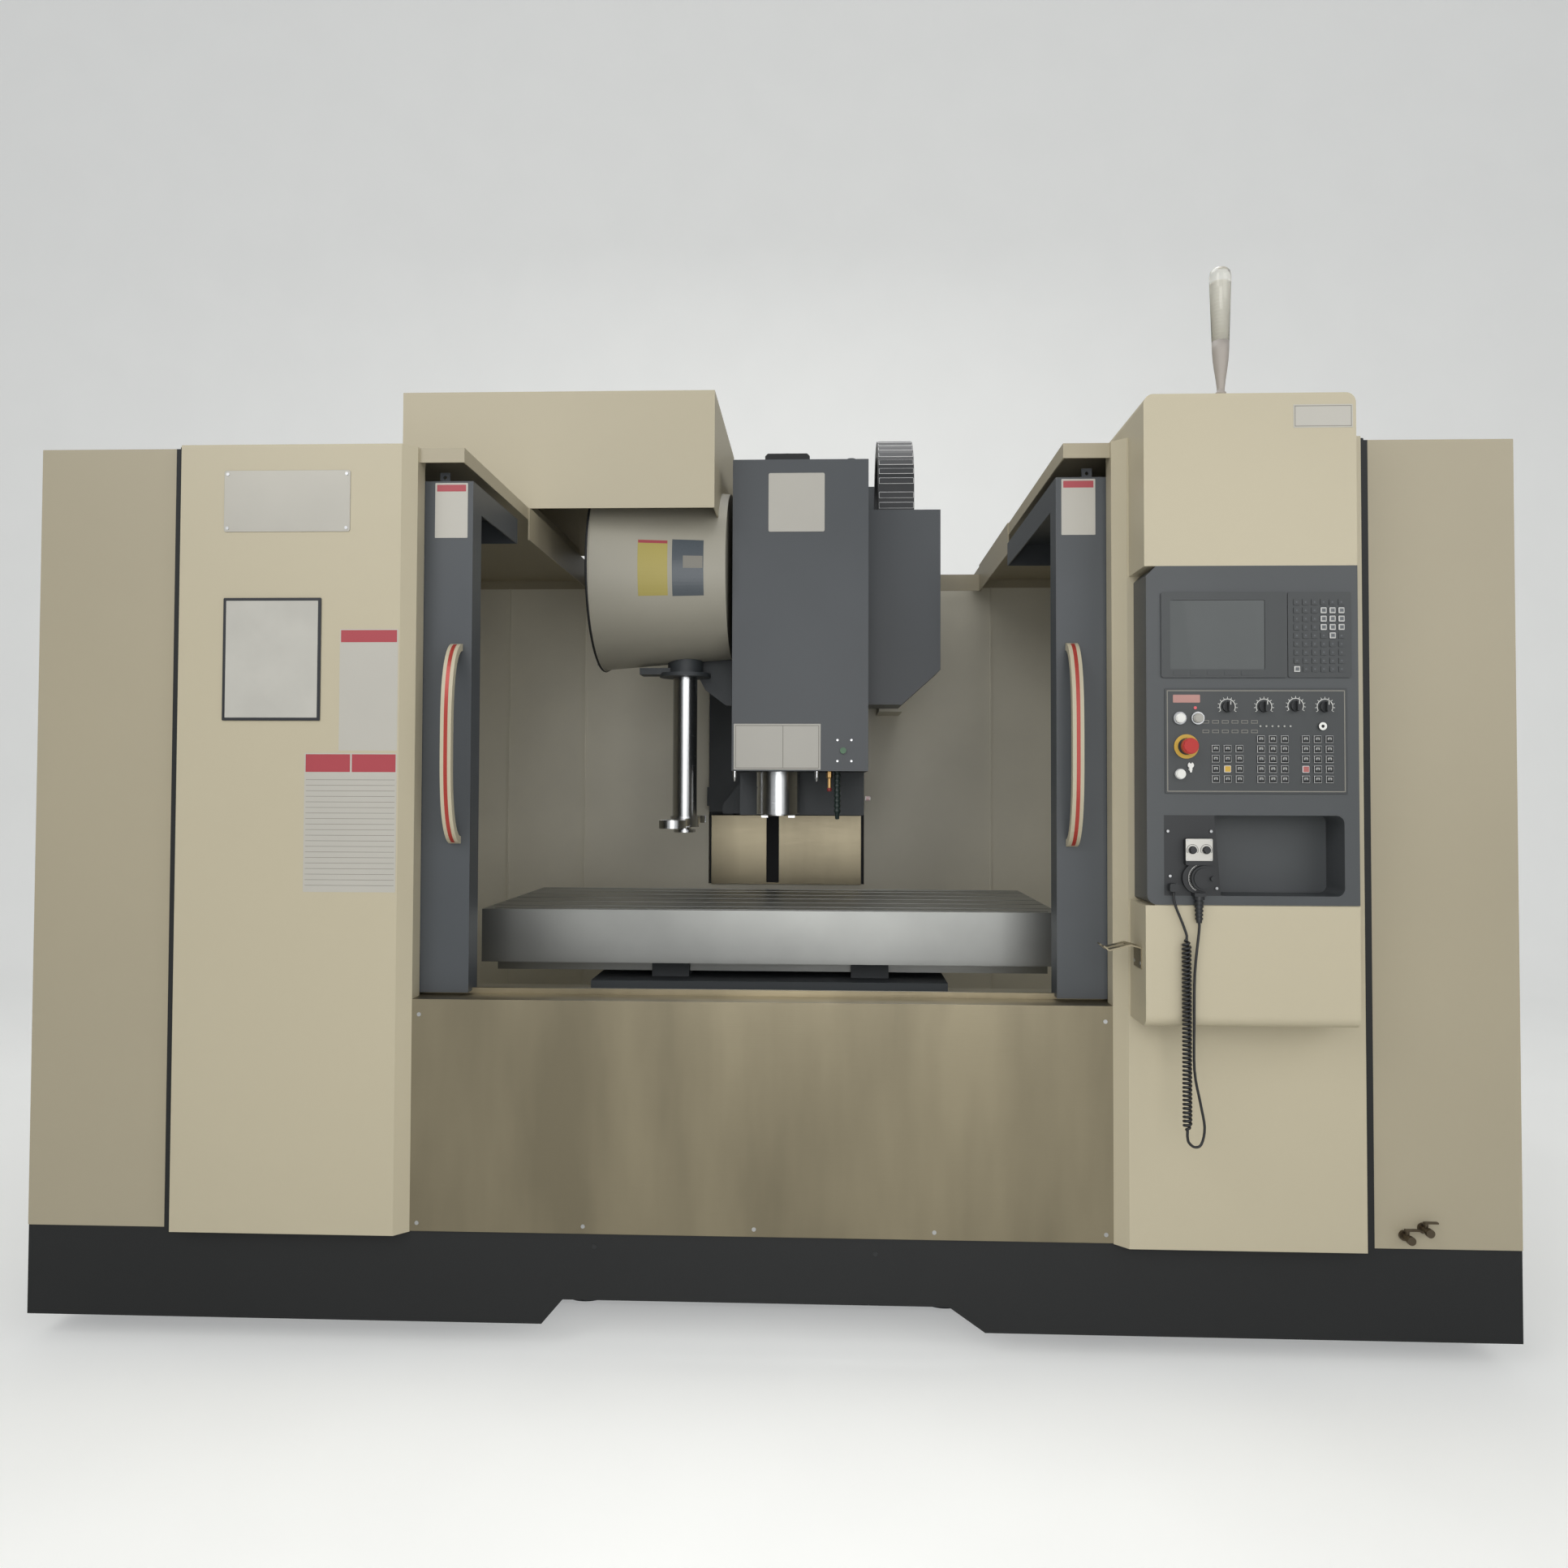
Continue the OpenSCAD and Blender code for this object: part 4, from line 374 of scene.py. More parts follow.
# Screws of zinc plated steel in the sill, the skirt, the socket plate, the head cover and the hook.
# Screws, keys, ticks and links are rows of one small shape, each from a tree of geometry nodes.
def repeat_tree(name, form):
    """A tree that puts a block or a round at each point, turned as the point says, with sizes in metres."""
    tree = bpy.data.node_groups.new(name, "GeometryNodeTree")
    sockets = tree.interface
    sockets.new_socket("Geometry", in_out="INPUT", socket_type="NodeSocketGeometry")
    for label, value in (("Width", 0.01), ("Depth", 0.003), ("Height", 0.01)):
        sockets.new_socket(label, in_out="INPUT", socket_type="NodeSocketFloat").default_value = value
    sockets.new_socket("Material", in_out="INPUT", socket_type="NodeSocketMaterial")
    sockets.new_socket("Geometry", in_out="OUTPUT", socket_type="NodeSocketGeometry")
    given = add(tree, "NodeGroupInput")
    if form == "block":
        size = add(tree, "ShaderNodeCombineXYZ", None, {
            "X": given.outputs["Width"], "Y": given.outputs["Depth"], "Z": given.outputs["Height"]})
        shape = add(tree, "GeometryNodeMeshCube", None, {"Size": size.outputs["Vector"]})
        body = shape.outputs["Mesh"]
    else:
        radius = add(tree, "ShaderNodeMath", {"operation": "MULTIPLY"}, {0: given.outputs["Width"], 1: 0.5})
        shape = add(tree, "GeometryNodeMeshCylinder", None, {
            "Vertices": 20, "Radius": radius.outputs["Value"], "Depth": given.outputs["Depth"]})
        laid = add(tree, "GeometryNodeTransform", None, {
            "Geometry": shape.outputs["Mesh"], "Rotation": (math.pi / 2, 0, 0)})
        body = laid.outputs["Geometry"]
    turn = add(tree, "GeometryNodeInputNamedAttribute", {"data_type": "FLOAT_VECTOR"}, {"Name": "turn"})
    spread = add(tree, "GeometryNodeInstanceOnPoints", None, {
        "Points": given.outputs["Geometry"], "Instance": body,
        "Rotation": turn.outputs["Attribute"]})
    real = add(tree, "GeometryNodeRealizeInstances", None, {"Geometry": spread.outputs["Instances"]})
    dressed = add(tree, "GeometryNodeSetMaterial", None, {
        "Geometry": real.outputs["Geometry"], "Material": given.outputs["Material"]})
    add(tree, "NodeGroupOutput", None, {"Geometry": dressed.outputs["Geometry"]})
    return tree


def rows(name, tree, spots, size, mat, body, turns=None, edge=0.0):
    """The tree's shape at each spot, made one plain mesh; edge rounds its corners by that many metres."""
    mesh = bpy.data.meshes.new(name + " spots")
    mesh.from_pydata([tuple(p) for p in spots], [], [])
    turn = mesh.attributes.new("turn", "FLOAT_VECTOR", "POINT")
    for k in range(len(spots)):
        turn.data[k].vector = turns[k] if turns else (0, 0, 0)
    maker = bpy.data.objects.new(name + " maker", mesh)
    scene.collection.objects.link(maker)
    grow = maker.modifiers.new("rows", "NODES")
    grow.node_group = tree
    ids = {item.name: item.identifier for item in tree.interface.items_tree if item.in_out == "INPUT"}
    for label, value in zip(("Width", "Depth", "Height"), size):
        grow[ids[label]] = value
    grow[ids["Material"]] = mat
    done = maker.evaluated_get(bpy.context.evaluated_depsgraph_get())
    flat = bpy.data.meshes.new_from_object(done)
    bpy.data.objects.remove(maker)
    if edge:
        work = bmesh.new()
        work.from_mesh(flat)
        bmesh.ops.bevel(work, geom=list(work.edges), offset=edge, segments=1, affect="EDGES")
        work.to_mesh(flat)
        work.free()
    flat.name = name
    made = bpy.data.objects.new(name, flat)
    scene.collection.objects.link(made)
    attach(made, body)
    return made


round_head = repeat_tree("screw heads", "round")
small_block = repeat_tree("small blocks", "block")
zinc = finish_of("zinc plated steel", "#b9babb", 0.35, metal=1.0, grain_mm=2, grain=0.05)
rows("sill_screws", round_head, [at(x, 32.2, z) for x, z in (
    (-922, 340), (922, 340), (-10, 338), (-470, 338), (470, 338), (-922, 900), (922, 900))],
    (0.011, 0.0022, 0), zinc, "machine")
rows("skirt_holes", round_head, [at(x, 38.6, z) for x, z in ((-440, 282), (314, 276))],
     (0.012, 0.001, 0), black_abs, "machine")
rows("socket_plate_screws", round_head, [at(x, -151, z) for x, z in (
    (1035, 1412), (1142, 1412), (1040, 1300), (1155, 1270))], (0.007, 0.006, 0), zinc, "machine")
cover_face = 1000
rows("head_cover_screws", round_head, [at(x, cover_face - 1, z) for x, z in (
    (218, 1613), (267, 1613), (218, 1687), (267, 1687))], (0.008, 0.003, 0), zinc, "head")
rows("hook_screws", round_head, [at(979, y, z) for y, z in ((-108, 1076), (-52, 1076))],
     (0.010, 0.006, 0), zinc, "machine", turns=[(0, 0, math.pi / 2)] * 2)


# Flat plates and films on the panels: a blank plate, a blank sheet in a thin black frame, two blank
# films, and the blank plates of the head and the drum. Each lies flat on what carries it.
def rounded(x0, x1, z0, z1, radius):
    """The outline of a rectangle with round corners, as pairs of x and z."""
    line = []
    for cx, cz, start in ((x1 - radius, z1 - radius, 0), (x0 + radius, z1 - radius, 90),
                          (x0 + radius, z0 + radius, 180), (x1 - radius, z0 + radius, 270)):
        for k in range(7):
            a = math.radians(start + 15 * k)
            line.append((cx + radius * math.cos(a), cz + radius * math.sin(a)))
    return line


def outline_plate(name, x0, x1, z0, z1, y0, y1, radius, mat, body, slot, bevel=0.4):
    """A flat plate with round corners and a fine bevel, between two depths."""
    line = rounded(x0, x1, z0, z1, radius)
    mid_x, mid_z = (x0 + x1) / 2, (z0 + z1) / 2
    verts = []
    for y, inset in ((y1, 0), (y0 + bevel, 0), (y0, bevel)):
        for x, z in line:
            verts.append(at(x - math.copysign(inset, x - mid_x), y, z - math.copysign(inset, z - mid_z)))
    n = len(line)
    faces = [list(range(n)), list(range(2 * n, 3 * n))] + skin(3, n)
    return piece(name, verts, faces, mat, body, slot)


paper = finish_of("matt white paper", "#bdbbb3", 0.7, grain_mm=2, grain=0.02, patch_mm=120, patch=0.05)
film = finish_of("printed vinyl film", "#bab7ae", 0.38, grain_mm=3, grain=0.02, patch=0.03)
film_red = finish_of("printed red vinyl film", "#a8434b", 0.38, grain_mm=3, grain=0.02, patch=0.03)
line_grey = finish_of("printed grey ink", "#87847b", 0.5, grain_mm=3, grain=0.02)
frame_black = finish_of("black extruded frame", "#26282c", 0.35, grain_mm=2, grain=0.04)
anodised = finish_of("anodised aluminium plate", "#aeaba2", 0.4, metal=0.35, grain_mm=2, grain=0.04)
outline_plate("blank_plate", -1464, -1115, 2210, 2378, -2.5, 0, 6, anodised, "machine", "stainless")
rows("blank_plate_screws", round_head, [at(x, -3, z) for x in (-1454, -1125) for z in (2220, 2368)],
     (0.009, 0.002, 0), zinc, "machine")
outline_plate("sheet_frame", -1461, -1191, 1695, 2029, -4, 0, 3, frame_black, "machine", "black_plastic")
outline_plate("sheet_in_frame", -1453, -1199, 1703, 2021, -4.4, -3, 1, paper, "machine", "white_plastic")
outline_plate("narrow_film", -1139, -979, 1614, 1944, -0.5, 0, 2, film, "machine", "white_plastic", 0.1)
outline_plate("wide_film", -1232, -979, 1232, 1607, -0.5, 0, 2, film, "machine", "white_plastic", 0.1)
for name, x0, x1, z0, z1 in (("narrow_film_head", -1136, -982, 1908, 1941),
                             ("wide_film_head_left", -1229, -1107, 1556, 1604),
                             ("wide_film_head_right", -1102, -982, 1556, 1604)):
    outline_plate(name, x0, x1, z0, z1, -0.7, -0.4, 1, film_red, "machine", "red_plastic", 0.1)
rows("wide_film_lines", small_block, [at(-1105.5, -0.55, z) for z in range(1250, 1550, 15)],
     (0.244, 0.0004, 0.0012), line_grey, "machine")
outline_plate("head_plate_high", -28, 171, 2425, 2634, cover_face - 1.6, cover_face, 6, film, "head",
              "white_plastic")
outline_plate("head_plate_low", -148, 159, 1582, 1744, cover_face - 1.6, cover_face, 2, film, "head",
              "white_plastic")
rows("head_plate_lines", small_block, [at(5, cover_face - 1.8, z) for z in (1588, 1738)],
     (0.294, 0.0005, 0.0022), line_grey, "head")
rows("head_plate_uprights", small_block, [at(x, cover_face - 1.8, 1663) for x in (-141, 26, 152)],
     (0.0022, 0.0005, 0.150), line_grey, "head")


# Operator console: key field, control plate with its printed frame, knob scales, lamps and collars.
# The plates are screen printed polycarbonate with a soft gloss, the key caps moulded ABS that looks
# matt, and the collars chromed brass that mirrors the room.
printed = finish_of("printed polycarbonate", "#3a3d3e", 0.42, grain_mm=2, grain=0.05)
light_key = finish_of("moulded pale ABS", "#a9a9a4", 0.42, grain_mm=2, grain=0.03)
grey_key = finish_of("moulded grey ABS", "#5b5f63", 0.42, grain_mm=2, grain=0.03)
white_ink = finish_of("printed white ink", "#d9d9d4", 0.5, grain_mm=2, grain=0.02)
yellow_abs = finish_of("moulded yellow ABS", "#c7a13a", 0.4, grain_mm=2, grain=0.03)
chrome = finish_of("chromed brass", "#c9cacb", 0.12, metal=1.0, grain_mm=3, grain=0.01, rough_spread=0.02)
paint(printed, "display_unit")
screen = finish_of("dark display glass", "#474b4b", 0.3, grain_mm=20, grain=0.0, patch_mm=300, patch=0.1,
                   coat=0.15, rough_spread=0.02)
outline_plate("display_glass", 1042, 1277, 1817, 1992, -153, -151.8, 3, screen, "machine", "black_plastic")
unit_face = -156
key_field = [(1355 + 22 * c, 1818 + 21 * r) for c in range(6) for r in range(9)]
numbers = [p for p in key_field if p[0] > 1415 and 1910 < p[1] < 1970] + [(1443, 1902), (1355, 1818)]
letters = [p for p in key_field if p not in numbers]
rows("letter_marks", small_block, [at(x, unit_face - 0.2, z) for x, z in letters],
     (0.004, 0.0006, 0.0035), grey_key, "machine")
rows("number_keys", small_block, [at(x, unit_face - 0.4, z) for x, z in numbers],
     (0.0145, 0.0035, 0.0145), light_key, "machine", edge=0.0012)
rows("number_windows", small_block, [at(x, unit_face - 2.3, z) for x, z in numbers],
     (0.0085, 0.0006, 0.0075), grey_key, "machine")
console_face, plate_face = -150, -153
control_face = outline_plate("control_face", 1029, 1478, 1506, 1770, plate_face, console_face, 3, printed,
                             "machine", "black_plastic")
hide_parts("control_plate")
rows("control_frame_flat", small_block, [at(1253.5, plate_face - 0.1, z) for z in (1512, 1764)],
     (0.437, 0.0006, 0.0022), line_grey, "machine")
rows("control_frame_upright", small_block, [at(x, plate_face - 0.1, 1638) for x in (1035, 1472)],
     (0.0022, 0.0006, 0.254), line_grey, "machine")
caps = [(1153 + 29.4 * c, 1542.5 + 25.4 * r) for c in range(3) for r in range(4)]
caps += [(x0 + 29.1 * c, 1542.6 + 25 * r) for x0 in (1265, 1375) for c in range(3) for r in range(5)]
yellow_spot, red_spot = caps[5], caps[28]
plain = [p for p in caps if p not in (yellow_spot, red_spot)]
matt_abs = finish_of("spark eroded black ABS", "#191b1c", 0.75, grain_mm=2, grain=0.06)
key_y = plate_face - 2
rows("machine_keys", small_block, [at(x, key_y, z) for x, z in plain], (0.0185, 0.0045, 0.0175),
     matt_abs, "machine", edge=0.0007)
rows("machine_key_marks", small_block, [at(x, key_y - 2.4, z + 1) for x, z in plain],
     (0.0095, 0.0006, 0.0065), light_key, "machine")
rows("machine_key_windows", small_block, [at(x, key_y - 2.8, z) for x, z in plain],
     (0.0055, 0.0006, 0.0045), grey_key, "machine")
rows("key_yellow", small_block, [at(yellow_spot[0], key_y, yellow_spot[1])], (0.017, 0.0045, 0.017),
     yellow_abs, "machine", edge=0.0014)
pink_abs = finish_of("moulded dull red ABS", "#a4605c", 0.4, grain_mm=2, grain=0.03)
rows("key_red", small_block, [at(red_spot[0], key_y, red_spot[1])], (0.017, 0.0045, 0.017),
     pink_abs, "machine", edge=0.0014)


def ring(name, x, z, y, d_out, d_in, depth, mat, body, slot, sides=48, start=0, sweep=360):
    """A flat ring or arc facing the front, its front face at y, going back by depth."""
    full = sweep == 360
    steps = sides if full else sides + 1
    verts = []
    for k in range(steps):
        a = math.radians(start + sweep * k / sides)
        for r in (d_in / 2, d_out / 2):
            for dy in (0, depth):
                verts.append(at(x + r * math.cos(a), y + dy, z + r * math.sin(a)))
    faces = []
    for k in range(sides):
        m = (k + 1) % steps
        a, b = 4 * k, 4 * m
        faces += [[a, b, b + 2, a + 2], [a + 1, a + 3, b + 3, b + 1], [a, a + 1, b + 1, b],
                  [a + 2, b + 2, b + 3, a + 3]]
    if not full:
        e = 4 * (steps - 1)
        faces += [[0, 2, 3, 1], [e, e + 1, e + 3, e + 2]]
    return piece(name, verts, faces, mat, body, slot)


selectors = (("mode", 1184, 1724), ("feed", 1274, 1724), ("rapid", 1352, 1726), ("override", 1424, 1724))
ticks, tick_turns = [], []
for number, (name, x, z) in enumerate(selectors):
    ring("knob_scale_%d" % number, x, z, plate_face - 0.3, 40, 36.5, 0.5, white_ink, "machine",
         "white_plastic", 40, start=-30, sweep=240)
    for k in range(11):
        a = math.radians(-30 + 24 * k)
        ticks.append(at(x + 22.5 * math.cos(a), plate_face - 0.3, z + 22.5 * math.sin(a)))
        tick_turns.append((0, -a, 0))
rows("knob_ticks", small_block, ticks, (0.0045, 0.0006, 0.0012), white_ink, "machine",
     turns=tick_turns)
for name, x, z in selectors:
    rows(name + "_mark", small_block, [at(x, -177.4, z + 8)], (0.0016, 0.0006, 0.009), white_ink,
         "selector_" + name)
for k, (x, z, d) in enumerate(((1065, 1695, 32), (1109.5, 1695, 32), (1065, 1555, 27.5))):
    ring("button_collar_%d" % k, x, z, -158.4, d, 25, 1.4, chrome, "machine", "machined_steel")
ring("stop_ring", 1081, 1624, -156.4, 61, 42, 0.6, yellow_abs, "machine", "white_plastic")
ring("key_ring", 1416, 1675, -160.2, 19.6, 8, 0.6, white_abs, "key_switch", "white_plastic")
film_pale = finish_of("pale red vinyl film", "#b3857d", 0.4, grain_mm=3, grain=0.02, patch=0.1)
outline_plate("pale_red_bar", 1049, 1116, 1734, 1754, plate_face - 0.6, plate_face, 2, film_pale, "machine",
              "red_plastic", 0.2)
red_lens = finish_of("lit red lens", "#e2646a", 0.3, grain_mm=2, grain=0.02)
rows("led_lenses", round_head, [at(1264 + 14.8 * k, -155.2, 1675) for k in range(6)],
     (0.0045, 0.002, 0), light_key, "machine")
rows("led_red", round_head, [at(1104, -154, 1721)], (0.0075, 0.002, 0), red_lens, "machine")
window_spots = [(1130 + 24 * c, z) for c in range(6) for z in (1662, 1686)]
rows("row_windows", small_block, [at(x, plate_face - 0.2, z) for x, z in window_spots],
     (0.016, 0.0007, 0.008), line_grey, "machine")
rows("row_window_fields", small_block, [at(x, plate_face - 0.4, z) for x, z in window_spots],
     (0.0135, 0.0007, 0.0055), printed, "machine")


# Hand pendant: raised arcs round its knobs, the dial with its ticks and a rim on the wheel, all moulded
# in black ABS, and a satin plate of aluminium held by four small screws.
for k, x in enumerate((1090, 1124)):
    ring("pendant_scale_%d" % k, x, 1366, -171.2, 29, 27, 0.4, black_abs, "machine", "black_plastic", 36,
         start=-30, sweep=240)
wheel_x, wheel_z = 1117, 1296
ring("wheel_dial", wheel_x, wheel_z, -165.6, 74, 63, 1.2, black_abs, "machine", "black_plastic", 60)
dial, dial_turns = [], []
for k in range(20):
    a = math.radians(110 + 6.8 * k)
    dial.append(at(wheel_x + 34.3 * math.cos(a), -165.8, wheel_z + 34.3 * math.sin(a)))
    dial_turns.append((0, -a, 0))
rows("dial_ticks", small_block, dial, (0.0035, 0.0005, 0.0007), white_ink, "machine",
     turns=dial_turns)
ring("dial_arc", wheel_x, wheel_z, -165.9, 72, 70.4, 0.4, white_ink, "machine", "white_plastic", 40,
     start=110, sweep=130)
ring("wheel_rim", wheel_x, wheel_z, -180.8, 52, 46, 1.2, black_abs, "handwheel", "black_plastic", 60)
satin = finish_of("satin aluminium", "#c9c7c0", 0.35, metal=1.0, grain_mm=2, grain=0.04)
outline_plate("pendant_plate", 1073.5, 1140, 1339, 1394, -170.9, -170, 3, satin, "machine", "machined_steel")
rows("pendant_screws", round_head, [at(x, -171, z) for x in (1078, 1136) for z in (1343, 1390)],
     (0.004, 0.0012, 0), zinc, "machine")


# Door fittings: a red anodised strip set in each bowed handle, a black rubber profile round each window
# and a blank label film at the top of each door.
def bow_point(u, depth, half, middle, x):
    """A point on the bow of the handle at share u of its half height."""
    return at(x, 95 - depth * math.sqrt(max(0.0, 1 - abs(u) ** 3)), middle + half * u)


def handle_stripe(name, side, body):
    """A strip that follows the front of the bow, a little proud of it."""
    n = 40
    verts = []
    for k in range(n + 1):
        u = math.sin(math.pi / 2 * (-1 + 2 * k / n)) * 0.985
        for x in (side * 847 - 5, side * 847 + 5):
            for lift in (0.0, 0.6):
                verts.append(bow_point(u, 95 + lift, 277.5 + lift, 1637.5, x))
    faces = []
    for k in range(n):
        a, b = 4 * k, 4 * k + 4
        faces += [[a + 1, b + 1, b + 3, a + 3], [a, a + 2, b + 2, b], [a, b, b + 1, a + 1],
                  [a + 2, a + 3, b + 3, b + 2]]
    e = 4 * n
    faces += [[0, 1, 3, 2], [e, e + 2, e + 3, e + 1]]
    return piece(name, verts, faces, stripe_red, body, "red_plastic")


def window_seal(name, side, body, y0, y1):
    """A rubber profile round the window, half over the pane and half over the door."""
    middle, half, low, high, corner = side * 1337, 292, 1318, 2062, 42
    profile = ((-18, y0), (-18, y1), (6, y1), (6, y0), (-6, y0 - (y1 - y0) * 0.35))
    verts = []
    for grow, y in profile:
        line = rounded(middle - half - grow, middle + half + grow, low - grow, high + grow, corner + grow)
        verts += [at(x, y, z) for x, z in line]
    faces = skin(len(profile), len(line), closed=True)
    return piece(name, verts, faces, rubber, body, "black_plastic")


stripe_red = finish_of("red anodised strip", "#a8392f", 0.3, metal=0.2, grain_mm=2, grain=0.03)
rubber = finish_of("black EPDM rubber", "#1b1c1e", 0.7, grain_mm=1.5, grain=0.08)
for side, body in ((-1, "door_left"), (1, "door_right")):
    handle_stripe("%s_stripe" % body, side, body)
    window_seal("%s_seal_front" % body, side, body, 91.5, 95)
    label_x = side * 868
    outline_plate("%s_label" % body, label_x - 46, label_x + 46, 2212, 2366, 94.4, 95, 2, film, body,
                  "white_plastic", 0.1)
    outline_plate("%s_label_head" % body, label_x - 41, label_x + 41, 2342, 2361, 94.2, 94.5, 1,
                  film_red, body, "red_plastic", 0.1)


# Drum cover: dark rubber edge round its open end, a yellow and a blue grey blank film on its front.
# The films follow the tapered round of the cover.
drum_y, drum_z, drum_left, drum_length = 1238, 2305, -655, 480
drum_radius, drum_taper = 345, 40


def drum_film(name, x0, x1, a0, a1, lift, mat, slot):
    """A film on the round of the drum between two angles, counted in degrees from level front."""
    n = 16
    verts = []
    for x in (x0, x1):
        r = drum_radius - (x - drum_left) * drum_taper / drum_length
        for k in range(n + 1):
            a = math.radians(a0 + (a1 - a0) * k / n)
            for rr in (r + 0.1, r + lift):
                verts.append(at(x, drum_y - rr * math.cos(a), drum_z + rr * math.sin(a)))
    faces = []
    m = 2 * (n + 1)
    for k in range(n):
        a, b = 2 * k, 2 * k + 2
        faces += [[a, b, m + b, m + a], [a + 1, m + a + 1, m + b + 1, b + 1], [a, a + 1, b + 1, b],
                  [m + a, m + b, m + b + 1, m + a + 1]]
    faces += [[0, m, m + 1, 1], [2 * n, 2 * n + 1, m + 2 * n + 1, m + 2 * n]]
    return piece(name, verts, faces, mat, "machine", slot)


film_yellow = finish_of("printed yellow film", "#b3a558", 0.45, grain_mm=3, grain=0.02, patch=0.05)
film_slate = finish_of("blue grey film", "#4c545b", 0.3, grain_mm=3, grain=0.02, patch=0.08)
drum_film("drum_film_yellow", -479, -376, -21, 13.4, 0.6, film_yellow, "white_plastic")
drum_film("drum_film_yellow_head", -478, -377, 11.4, 13.3, 0.9, film_red, "red_plastic")
drum_film("drum_film_slate", -360, -251, -21.5, 14.3, 0.6, film_slate, "black_plastic")
drum_film("drum_film_slate_pale", -322, -254, -4, 3.8, 0.9, line_grey, "white_plastic")
edge_radius, edge_steps = 348.5, 72
edge_line = [at(drum_left - 0.5, drum_y + edge_radius * math.cos(2 * math.pi * k / edge_steps),
                drum_z + edge_radius * math.sin(2 * math.pi * k / edge_steps)) for k in range(edge_steps)]


def loop_tube(name, line, radius, sides, mat, body, slot):
    """A round profile along a closed line."""
    verts = []
    n = len(line)
    middle = sum(line, Vector()) / n
    for i, p in enumerate(line):
        ahead = (line[(i + 1) % n] - line[i - 1]).normalized()
        out = p - middle
        out = (out - ahead * out.dot(ahead)).normalized()
        other = ahead.cross(out)
        for k in range(sides):
            a = 2 * math.pi * k / sides
            verts.append(p + (out * math.cos(a) + other * math.sin(a)) * radius)
    return piece(name, verts, skin(n, sides, closed=True), mat, body, slot, smooth=True)


loop_tube("drum_edge", edge_line, 0.005, 8, rubber, "machine", "black_plastic")


# Signal lamp: moulded tapered stem on a small flange and a clear tube with a stack of lenses inside.
# The tube is clear polycarbonate, a little wider at the top, and closed by a clear dome.
def turned(name, cx, cy, profile, mat, body, slot, sides=40, smooth=True):
    """A turned piece about an upright axis: pairs of radius and height in millimetres, bottom first."""
    verts, faces = [], []
    for r, z in profile:
        if r > 0:
            for k in range(sides):
                a = 2 * math.pi * k / sides
                verts.append(at(cx + r * math.cos(a), cy + r * math.sin(a), z))
        else:
            verts.append(at(cx, cy, z))
    start, spans = 0, []
    for r, z in profile:
        count = sides if r > 0 else 1
        spans.append((start, count))
        start += count
    for (a, na), (b, nb) in zip(spans, spans[1:]):
        for k in range(sides):
            m = (k + 1) % sides
            if na > 1 and nb > 1:
                faces.append([a + k, a + m, b + m, b + k])
            elif na > 1:
                faces.append([a + k, a + m, b])
            elif nb > 1:
                faces.append([a, b + m, b + k])
    return piece(name, verts, faces, mat, body, slot, smooth=smooth)


lamp_grey = finish_of("moulded light grey ABS", "#a8a19a", 0.45, grain_mm=2, grain=0.04)
clear = bpy.data.materials.new("clear lamp polycarbonate")
clear.use_nodes = True
clear_shader = clear.node_tree.nodes["Principled BSDF"]
clear_shader.inputs["Base Color"].default_value = linear("#f0efe9")
clear_shader.inputs["Roughness"].default_value = 0.08
clear_shader.inputs["Transmission Weight"].default_value = 0.75
clear_shader.inputs["IOR"].default_value = 1.45
lens = finish_of("ribbed white lens", "#dedbd0", 0.35, grain_mm=3, grain=0.05)
lamp_x, lamp_y = 1243, 60
stem_profile = [(0, 2516), (19.5, 2516), (19.5, 2519), (14, 2522), (10, 2526), (10, 2582), (14, 2584),
                (14, 2588), (10, 2591), (10.2, 2600), (12.5, 2621), (16.5, 2648), (20, 2675), (22, 2702),
                (22.8, 2727), (0, 2727.5)]
stem = turned("lamp_stem", lamp_x, lamp_y, stem_profile, lamp_grey, "machine", "clear_lamp")
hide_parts("signal_lamp")
tube_profile = [(0, 2728), (22.8, 2728), (28.6, 2900), (28.6, 2906), (26, 2918), (19, 2926), (10, 2929.3),
                (0, 2929.8)]
turned("lamp_tube", lamp_x, lamp_y, tube_profile, clear, "machine", "clear_lamp")
lens_profile = [(0, 2730)]
for k in range(16):
    r, z = 15.5 + 0.25 * k, 2730 + 10 * k
    lens_profile += [(r, z + 0.5), (r + 1.2, z + 5), (r, z + 9.5)]
lens_profile.append((0, 2891))
turned("lamp_lenses", lamp_x, lamp_y, lens_profile, lens, "machine", "clear_lamp")


# Fittings below the head: chromed brass coolant nozzles, the brass connector with its red collar, a
# jointed acetal coolant hose beside it and a red plug on the side of the casting.
red_nylon = finish_of("red nylon collar", "#8e3230", 0.4, grain_mm=2, grain=0.03)
hose_green = finish_of("moulded dark green acetal", "#22302d", 0.4, grain_mm=2, grain=0.04)
nozzle_profile = [(0, 1546.5), (1.6, 1546), (1.6, 1540.5), (3, 1541), (6, 1553), (6.9, 1555), (6.9, 1571),
                  (8, 1572), (8, 1577.5), (0, 1577.5)]
for k, x in enumerate((-147, 145)):
    nozzle = turned("coolant_nozzle_%d" % k, x, 1034, nozzle_profile, chrome, "head", "brass", 24,
                    smooth=False)
    if k == 0:
        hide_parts("head_fittings")
air_x, air_y = 190, 1060
connector_profile = [(0, 1515), (5, 1515), (6.9, 1518), (6.9, 1552), (10.5, 1554), (11, 1557), (11, 1577),
                     (0, 1577.5)]
turned("air_connector", air_x, air_y, connector_profile, brass, "head", "brass", 6, smooth=False)
collar_profile = [(0, 1506), (6.9, 1506), (8.4, 1508), (8.4, 1517), (6.9, 1519), (0, 1519.5)]
turned("air_collar", air_x, air_y, collar_profile, red_nylon, "head", "red_plastic", 24)
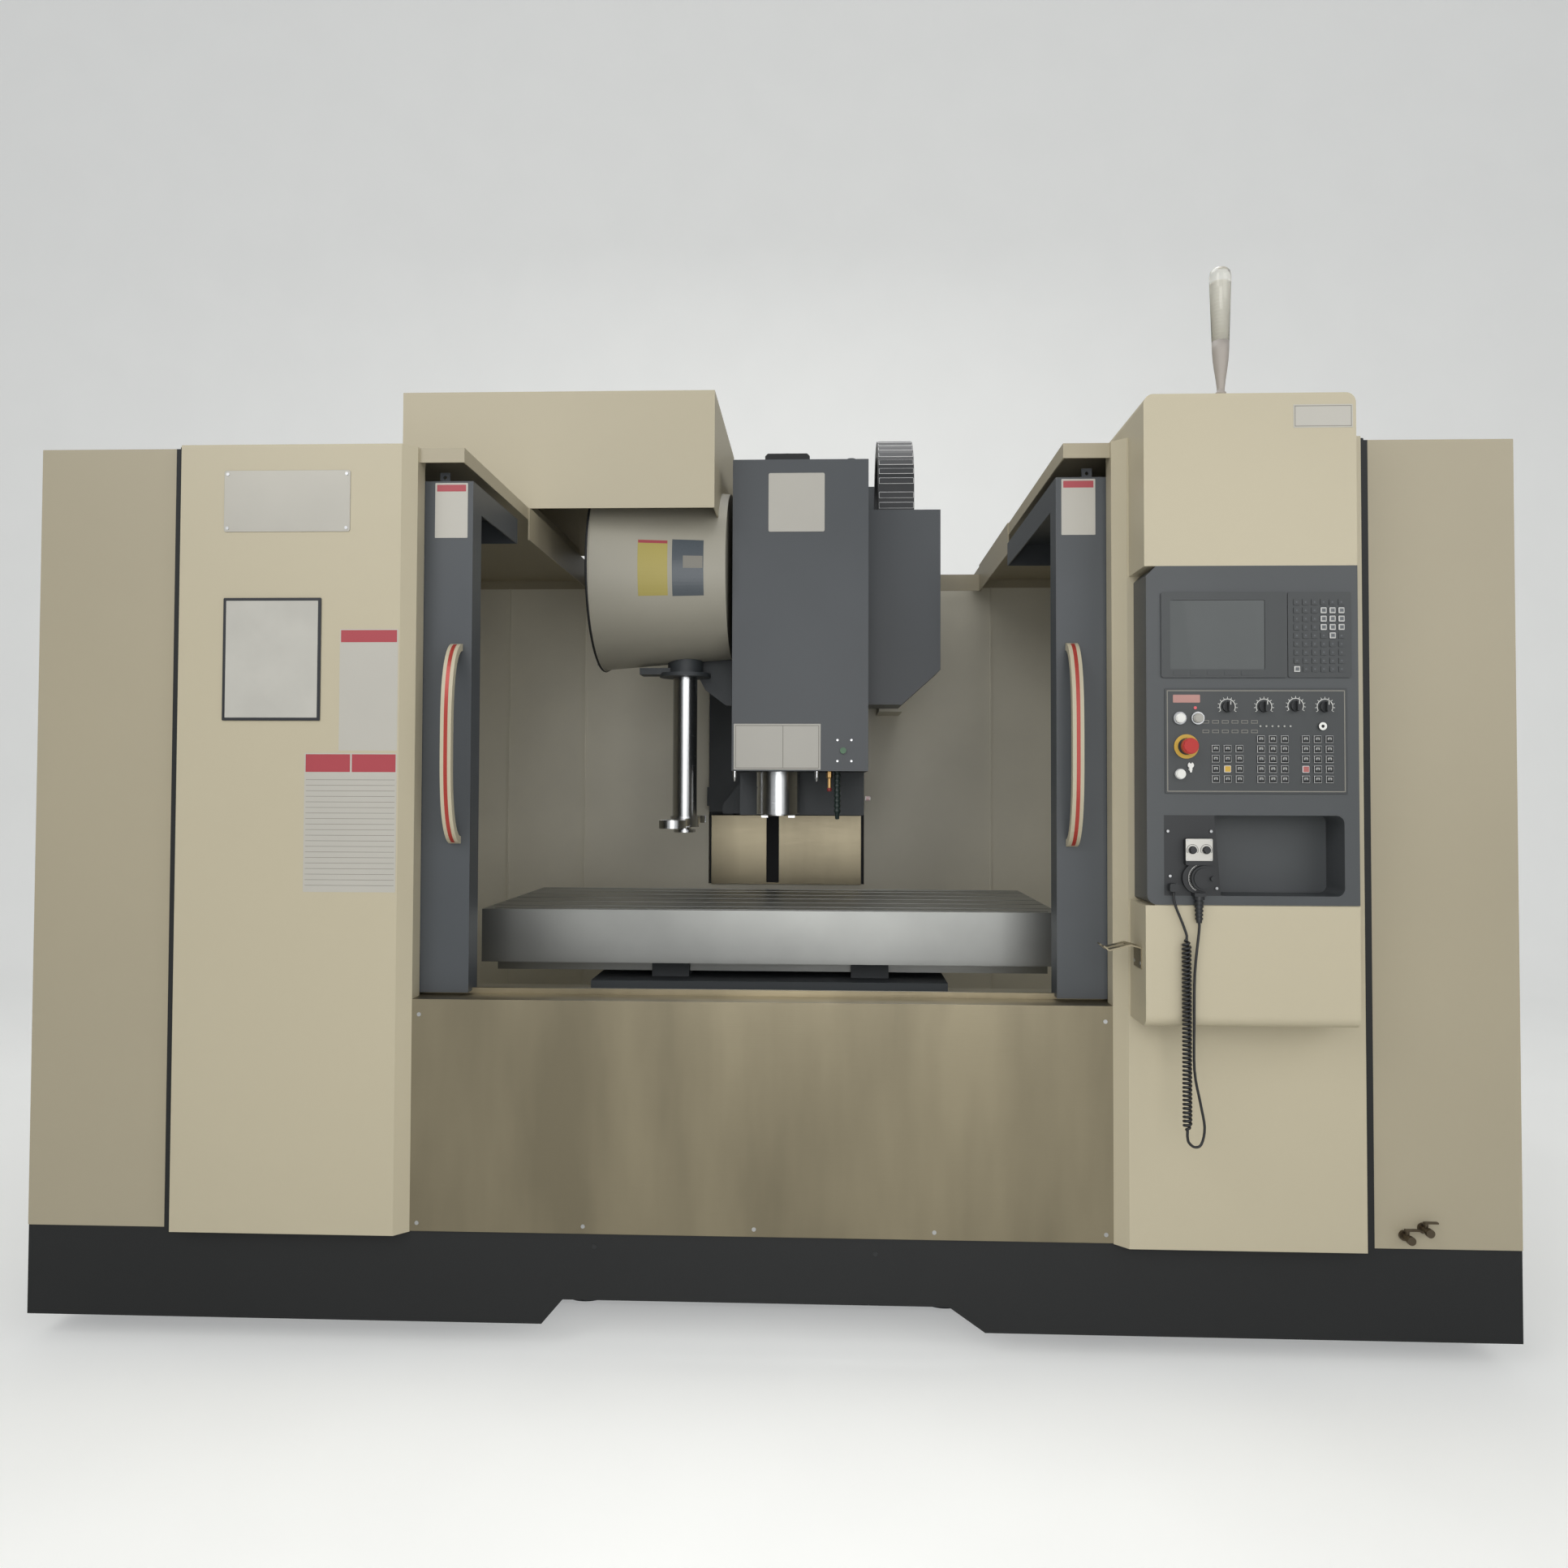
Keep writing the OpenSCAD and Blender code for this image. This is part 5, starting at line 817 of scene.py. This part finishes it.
hose_profile = [(0, 1406.5), (5, 1406.5), (7.5, 1409), (7.8, 1426)]
for k in range(8):
    z = 1428 + 18 * k
    hose_profile += [(8.5, z), (12.4, z + 5), (12.9, z + 10), (9.5, z + 16)]
hose_profile += [(9.5, 1573), (12.9, 1574), (12.9, 1577.5), (0, 1577.6)]
turned("coolant_hose", 218, 1062, hose_profile, hose_green, "head", "black_plastic", 28)
rows("head_plug", round_head, [at(327, 1062, 1481)], (0.017, 0.018, 0), red_nylon, "head",
     turns=[(0, 0, math.pi / 2)], edge=0.002)


# Blank plate of printed vinyl near the top right corner of the operator hood, stuck on, with a thin
# printed frame.
outline_plate("hood_plate", 1353, 1500, 2427, 2486, -150.8, console_face, 2, film, "machine",
              "white_plastic", 0.2)
rows("hood_plate_lines", small_block, [at(1426.5, -151, z) for z in (2431, 2482)],
     (0.140, 0.0005, 0.0015), line_grey, "machine")
rows("hood_plate_uprights", small_block, [at(x, -151, 2456.5) for x in (1357, 1496)],
     (0.0015, 0.0005, 0.052), line_grey, "machine")


# Energy chain beside the head: moulded nylon links whose cross bars stand a little proud outside.
# A dark rubber strip fills the slot between the two way cover plates, as painted shade for the dark slot.
chain_x, bend_y, bend_z, bend_radius = 447, 1625, 2695, 223.5
links, link_turns = [], []
for k in range(18):
    a = math.radians(10.2 * k - 86)
    links.append(at(chain_x, bend_y + bend_radius * math.sin(a), bend_z + bend_radius * math.cos(a)))
    link_turns.append((-a - math.pi / 2, 0, 0))
for k in range(4):
    links.append(at(chain_x, bend_y - bend_radius, bend_z - 40 * (k + 1)))
    link_turns.append((0, 0, 0))
nylon = finish_of("moulded black nylon", "#2a2c2e", 0.5, grain_mm=2, grain=0.06)
rows("chain_links", small_block, links, (0.134, 0.006, 0.024), nylon, "head",
     turns=link_turns, edge=0.0015)
# Painted shade: a dark strip in the slot between the way cover plates.
outline_plate("way_slot_shade", -87, -32, 1100, 1395, 2073.4, 2076.5, 1, rubber, "machine", "black_plastic", 0.5)
